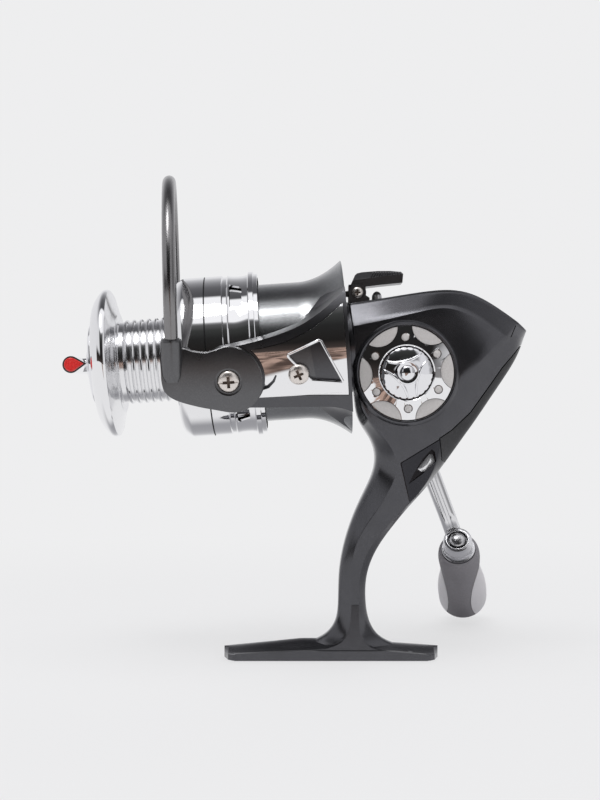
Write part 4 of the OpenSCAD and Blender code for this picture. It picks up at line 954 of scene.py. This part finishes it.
unrolled = rotor_axis.inverted() @ hoop_axis
for hand, name, node in ((-1, "bail_lever_near", "bail_lever"), (1, "bail_lever_far", "roller_arm")):
    lever = wrapped(lever_line, lambda up: lever_inner, lever_depth, hand, 44)
    rounded(lever, 1.3, 4, 50, lambda co: abs(co.y) > 36.2)
    rounded(lever, 0.4, 2, 50, lambda co: abs(co.y) < 34.5)
    well = lathe([(0, 37.1), (4.3, 37.1), (4.3, 38.4), (4.9, 39.0), (4.9, 42), (0, 42)], 72)
    for tool in (well, rod(2.6, 30, 42, 40)):
        lever = cut(lever, moved(tool, facing(0, 0, pivot_f, hand)))
    socket = lathe([
        (0, -9.5), (2.6, -9.2), (3.2, -7.5), (3.35, -2.0), (3.3, 3.2), (3.0, 3.9), (2.4, 4.2), (0, 4.2)], 48)
    moved(socket, unrolled @ shift(0, hand * hoop_r, 0) @ turn(90, "Y"))
    piece(name, joined(lever, socket), satin_black, "bail", [node], rotor_axis)

dark_wire = surface(
    "dark_plated_wire", (0.24, 0.235, 0.238), (0.28, 0.275, 0.278), (6000, 0.3), (0.21, 0.27, 40), (5000, 0.006),
    Metallic=1.0, Coat_Weight=0.2, Coat_Roughness=0.15)
leg = 11.4
path = [(x, -hoop_r, 0) for x in (0.1, 3, 6, 9)]
path += [(x, y, 0) for x, y in arc(leg, 0, hoop_r, -90, 90, 64)]
path += [(x, hoop_r, 0) for x in (9, 6, 3, 0.1)]
piece("bail_hoop", swept(path, lambda t: wire_r, 28), dark_wire, "bail", ["bail_wire"], hoop_axis)

steel = bare_metal("ground_steel", (0.54, 0.54, 0.55), 0.06, (0.20, 0.27, 80), (5000, 0.012), coarse)
roller = lathe([
    (1.56, 29.75), (3.9, 29.75), (4.2, 30.0), (4.15, 30.4), (3.5, 31.2), (3.3, 31.9), (3.5, 32.6), (4.15, 33.4),
    (4.2, 33.8), (3.9, 34.05), (1.56, 34.05)], 72, True)
roller_place = rotor_axis @ facing(2, 0, 48)
piece("line_roller_wheel", roller, chrome, "roller", ["line_roller"], roller_place)
pin = moved(cross_screw(2.8, 0.9, 1.0), shift(0, 0, 29.4) @ turn(180, "X"))
pin = joined(pin, rod(1.5, 28.8, 38.95, 32))
piece("roller_pin", pin, screw_finish, "bail", ["roller_screw"], roller_place)

# ---- Spool ----
# Turned and polished aluminium: a ribbed core between a front lip and a long skirt. The skirt has a fine blackened line
# round it and four windows through the wall.
polished = bare_metal("polished_alloy", (0.85, 0.85, 0.86), 0.02, (0.035, 0.05, 40), (6000, 0.004))
turned_alloy = bare_metal("turned_alloy", (0.83, 0.83, 0.84), 0.03, (0.13, 0.18, 40), (6000, 0.006))
black_line = surface(
    "line_enamel", (0.010, 0.010, 0.011), (0.02, 0.02, 0.02), (4000, 0.2), (0.3, 0.4, 80), (3000, 0.05))
rib = [(13.35, -0.8), (13.6, -0.62), (13.9, -0.4), (14.05, 0), (13.9, 0.4), (13.6, 0.62), (13.35, 0.8)]
ribs = [(r, 52.6 + 2.4 * k + f) for k in range(7) for r, f in rib]
spool = lathe([
    (25.2, 22.9), (26.4, 22.9), (26.4, 24.1), (27.2, 24.3), (27.2, 25.7), (26.2, 26.1), (25.95, 27.7), (25.9, 29.3),
    (25.95, 30.8), (26.2, 32.4), (26.4, 32.6), (25.9, 32.9), (25.9, 34.1), (26.4, 34.5), (26.4, 39.85), (26.12, 39.9),
    (26.12, 40.25), (26.4, 40.3), (26.4, 46.9), (26.2, 47.7), (25.4, 49.1), (24.6, 49.9), (24.0, 50.3), (23.4, 50.4),
    (13.9, 50.4), (13.5, 50.8), *ribs, (13.5, 69.2), (13.9, 69.6), (16.5, 69.6), (16.8, 69.9), (19.5, 70.6),
    (23.4, 71.6), (24.2, 72.1), (24.5, 72.8), (24.5, 73.5), (24.2, 74.2), (23.2, 75.3), (21.4, 76.6), (20.0, 77.3),
    (19.0, 77.6), (18.3, 77.5), (17.4, 76.7), (16.6, 76.3), (14.9, 76.2), (14.8, 76.0), (14.8, 71.0), (11.6, 71.0),
    (11.6, 57.7), (4.06, 57.7), (4.06, 47.4), (10, 47.4), (10, 48.4), (25.2, 48.4)], 160, True)
STANDING = Matrix(((0, 0, 1, 0), (1, 0, 0, 0), (0, 1, 0, 0), (0, 0, 0, 1)))
skirt_window = [(-4.5, 27.9), (4.5, 27.9), (6.3, 31.9), (-6.3, 31.9)]
for place in round_about(Matrix(), 4, 45):
    spool = cut(spool, moved(prism(skirt_window, 20, 30), place @ STANDING))


def spool_finish(at):
    """1 in the blackened line, 2 on the core between skirt and lip, 0 elsewhere."""
    if 39.84 < at.z < 40.31 and 26.0 < at.xy.length < 26.39:
        return 1
    return 2 if 50.3 < at.z < 71.9 and at.xy.length > 12 else 0


painted(spool, spool_finish)
piece("spool_shell", spool, [polished, black_line, turned_alloy], "spool", ["spool"], spool_axis)

# ---- Drag knob ----
# A metallised moulding on the shaft's nose: a round rim sunk in the spool's lip, with a wing to turn it by. The wing's
# two ends are framed drops of plain red.
rim = lathe([
    (0, 71.4), (13.4, 71.4), (13.9, 71.8), (14.0, 72.4), (14.0, 78.3), (13.8, 78.9), (13.2, 79.3), (12.2, 79.4),
    (11.4, 78.9), (6.2, 78.9), (5.6, 79.2), (5.2, 80.6), (4.4, 81.1), (0, 81.2)], 128)
wing_half = 13.9


def drop(grow):
    """The wing's end, wide at the front and drawn in towards the rim, as (up, f)."""
    return [(0, 79.55 - 1.8 * grow), *arc(0, 84.6, 2.75 + grow, 213, -33, 28)]


LYING = Matrix(((1, 0, 0, 0), (0, 0, 1, 0), (0, 1, 0, 0), (0, 0, 0, 1)))


def lying(outline, low, high):
    """An (up, f) outline raised along y, between two depths given in either order."""
    bm = moved(prism(outline, *sorted((low, high))), LYING)
    bmesh.ops.recalc_face_normals(bm, faces=bm.faces)
    return bm


wing = lying(drop(0.0), -wing_half, wing_half)
for hand in (-1, 1):
    end = [f for f in wing.faces if abs(f.calc_center_median().y - hand * wing_half) < 0.1]
    bmesh.ops.inset_region(wing, faces=end, thickness=0.45, depth=0.0, use_even_offset=True)
    bmesh.ops.inset_region(wing, faces=end, thickness=0.05, depth=-0.5, use_even_offset=True)
piece("drag_knob_shell", joined(rim, wing), bright_plastic, "drag", ["drag_knob"], spool_axis)
plain_red = surface(
    "plain_red", (0.62, 0.022, 0.020), (0.70, 0.05, 0.045), (2600, 0.25), (0.18, 0.28, 90), (1800, 0.05),
    Coat_Weight=0.4)
tips = []
for hand in (-1, 1):
    tip = lying(drop(-0.5), hand * 13.3, hand * 14.45)
    tips.append(rounded(tip, 0.35, 3, 50, lambda co: abs(co.y) > 14.4))
piece("drag_knob_drops", joined(*tips), plain_red, "drag", ["drag_knob_tips"], spool_axis)

# ---- Folding handle ----
# A bright drawn arm, grooved along both faces, hinged on a pin in a turned fork at the drive shaft's end. Its other end
# is an eye that holds the knob's spindle, riveted over.
fold_f, boss_f, boss_reach, knob_lean = 44, 47, 66, 38
arm_rise = boss_f - fold_f
crank_axis = drive_axis @ turn(69, "Z")
arm_axis = crank_axis @ shift(0, 0, fold_f) @ turn(-math.degrees(math.atan2(arm_rise, boss_reach)), "Y")
knob_axis = crank_axis @ shift(boss_reach, 0, boss_f) @ turn(8, "Z") @ turn(knob_lean, "Y")
fork = lathe([
    (0, 18.6), (5.2, 18.6), (5.8, 19.2), (5.8, 22.0), (5.2, 22.8), (4.9, 24.6), (4.9, 32.0), (5.2, 33.6), (6.0, 34.6),
    (6.2, 35.2), (6.2, 37.8), (5.9, 38.3), (0, 38.4)], 72)
outline = [(-4.6, 36.0), (4.6, 36.0), *arc(0, fold_f, 4.6, 0, 180, 20)]
cheeks = [rounded(lying(outline, hand * 3.6, hand * 6.0), 0.5, 3, 50) for hand in (-1, 1)]
piece("handle_fork_body", joined(fork, *cheeks), polished, "crank", ["handle_fork"], crank_axis)
pin = lathe([(0, -6.7), (1.1, -6.65), (1.5, -6.4), (1.6, -6.0), (1.6, 6.0), (1.5, 6.4), (1.1, 6.65), (0, 6.7)], 32)
piece("fold_pin_rivet", pin, steel, "crank", ["fold_pin"], crank_axis @ facing(0, 0, fold_f))

drawn_alloy = bare_metal("drawn_alloy", (0.74, 0.74, 0.75), 0.04, (0.10, 0.14, 60), (5000, 0.004))
satin_alloy = bare_metal("satin_alloy", (0.76, 0.76, 0.78), 0.04, (0.24, 0.30, 60), (5000, 0.006))
corner_line = [(0.0, -1.75), (0.5, -1.8), (0.8, -2.3), (1.5, -2.5), (2.3, -2.3), (3.1, -1.6), (3.45, -0.6)]
half = corner_line + [(y, -z) for y, z in reversed(corner_line)]
section = half + [(-y, z) for y, z in reversed(half[1:-1])]
arm_length = math.hypot(arm_rise, boss_reach)


def arm_corner(i, j):
    y, z = section[i % len(section)]
    t = j / 24
    ends = min(1.0, 0.55 + 6 * t, 0.55 + 6 * (1 - t))
    dip = 1.5 * max(0.0, (t - 0.86) / 0.14) ** 2
    return Vector((3.6 + t * (arm_length - 8.4), y * (1 - 0.13 * t) * min(1, 0.7 + 4 * t), z * ends + dip))


bar = skin(len(section), 24, arm_corner)
bmesh.ops.recalc_face_normals(closed(bar), faces=bar.faces)
knuckle = lathe([(1.66, -3.4), (4.5, -3.4), (4.8, -3.1), (4.8, 3.1), (4.5, 3.4), (1.66, 3.4)], 56, True)
moved(knuckle, turn(-90, "X"))
eye = lathe([
    (2.55, -1.9), (3.6, -1.9), (3.65, -2.9), (3.85, -3.15), (4.4, -3.2), (5.0, -2.9), (5.3, -2.2), (5.3, 2.1),
    (4.9, 2.6), (2.55, 2.6)], 72, True)
# The groove inside the eye takes the satin black: painted shade.
painted(eye, lambda at: 2 if at.xy.length < 3.64 and -2.7 < at.z < 0 else 1)
moved(eye, arm_axis.inverted() @ knob_axis)
arm_finish = [drawn_alloy, satin_alloy, satin_black]
piece("handle_arm_bar", joined(bar, knuckle, eye), arm_finish, "handle", ["handle_arm"], arm_axis)
spindle = lathe([
    (0, -4.0), (1.2, -3.95), (2.1, -3.8), (2.7, -3.5), (2.95, -3.1), (3.0, -2.6), (3.0, -1.95), (2.5, -1.85),
    (2.5, 31.0), (0, 31.2)], 56)
piece("knob_spindle_rivet", spindle, steel, "handle", ["knob_spindle"], knob_axis)
collar = lathe([(2.6, 2.65), (5.6, 2.65), (6.15, 2.95), (6.2, 3.6), (6.0, 4.2), (5.6, 4.4), (2.6, 4.4)], 72, True)
piece("knob_collar_ring", collar, satin_alloy, "handle", ["knob_collar"], knob_axis)

# ---- Handle knob ----
# A soft dark grey rubber grip moulded over a core, waisted under the collar. Two lighter, harder side panels fill the
# hollows in its flanks.
rubber = surface(
    "grip_rubber", (0.228, 0.219, 0.234), (0.275, 0.267, 0.283), (3800, 0.35), (0.58, 0.72, 70), (3000, 0.16),
    Specular_IOR_Level=0.35)
panel_grey = surface(
    "panel_grey", (0.66, 0.645, 0.665), (0.71, 0.695, 0.715), (3800, 0.3), (0.36, 0.46, 70), (3000, 0.08))
form = flat_line([
    (6.35, 3.6), (7.0, 3.9), (7.5, 5.8), (7.7, 8.6), (7.5, 12.6), (7.3, 16.1), (7.8, 20.6), (8.8, 26.6), (9.2, 31.6),
    (9.2, 37.2), (9.0, 39.6), (8.3, 41.1), (6.6, 41.8), (3.4, 42.0), (0.0, 42.0)], 4)
grip = lathe([(2.7, 4.65), (6.32, 4.65), *form], 112)
grip_form = grip.copy()
flanks = []
for hand in (-1, 1):
    across = turn(20, "Z") @ shift(0, hand * 44.2, 29.5) @ turn(90, "Y")
    grip = cut(grip, moved(rod(40.0, -20, 20, 96), across))
    flanks.append(common(grip_form.copy(), moved(rod(39.85, -20, 20, 96), across)))
grip_form.free()
piece("knob_grip", rounded(grip, 0.25, 2, 50), rubber, "knob", ["knob_core"], knob_axis)
piece("knob_side_panels", joined(*flanks), panel_grey, "knob", ["knob_panels"], knob_axis)

# ---- Works inside ----
# Gears of brass, shafts, bearings and clutch of steel, the slider and its wheel of nylon, and the drag's felt washers.
# They keep their solids and only take their finish here.
brass = surface(
    "cut_brass", (0.55, 0.38, 0.14), (0.66, 0.48, 0.20), (2000, 0.3), (0.18, 0.32, 110), (2600, 0.06),
    Metallic=1.0)
nylon = surface("nylon", (0.66, 0.63, 0.56), (0.72, 0.70, 0.64), (2400, 0.3), (0.36, 0.48, 90), (2200, 0.08))
felt = surface("drag_felt", (0.30, 0.23, 0.16), (0.42, 0.34, 0.25), (6000, 0.45), (0.85, 0.98, 300), (4200, 0.5))
inner_finish = {"steel": steel, "yellow_metal": brass, "white_plastic": nylon, "felt": felt, "black_satin": satin_black}
slots = {part["node"]: part["material_slot"] for part in frame["record"]["subparts"]}
for name, thing in frame["nodes"].items():
    if slots[name] in inner_finish:
        for place in thing.material_slots:
            place.material = inner_finish[slots[name]]
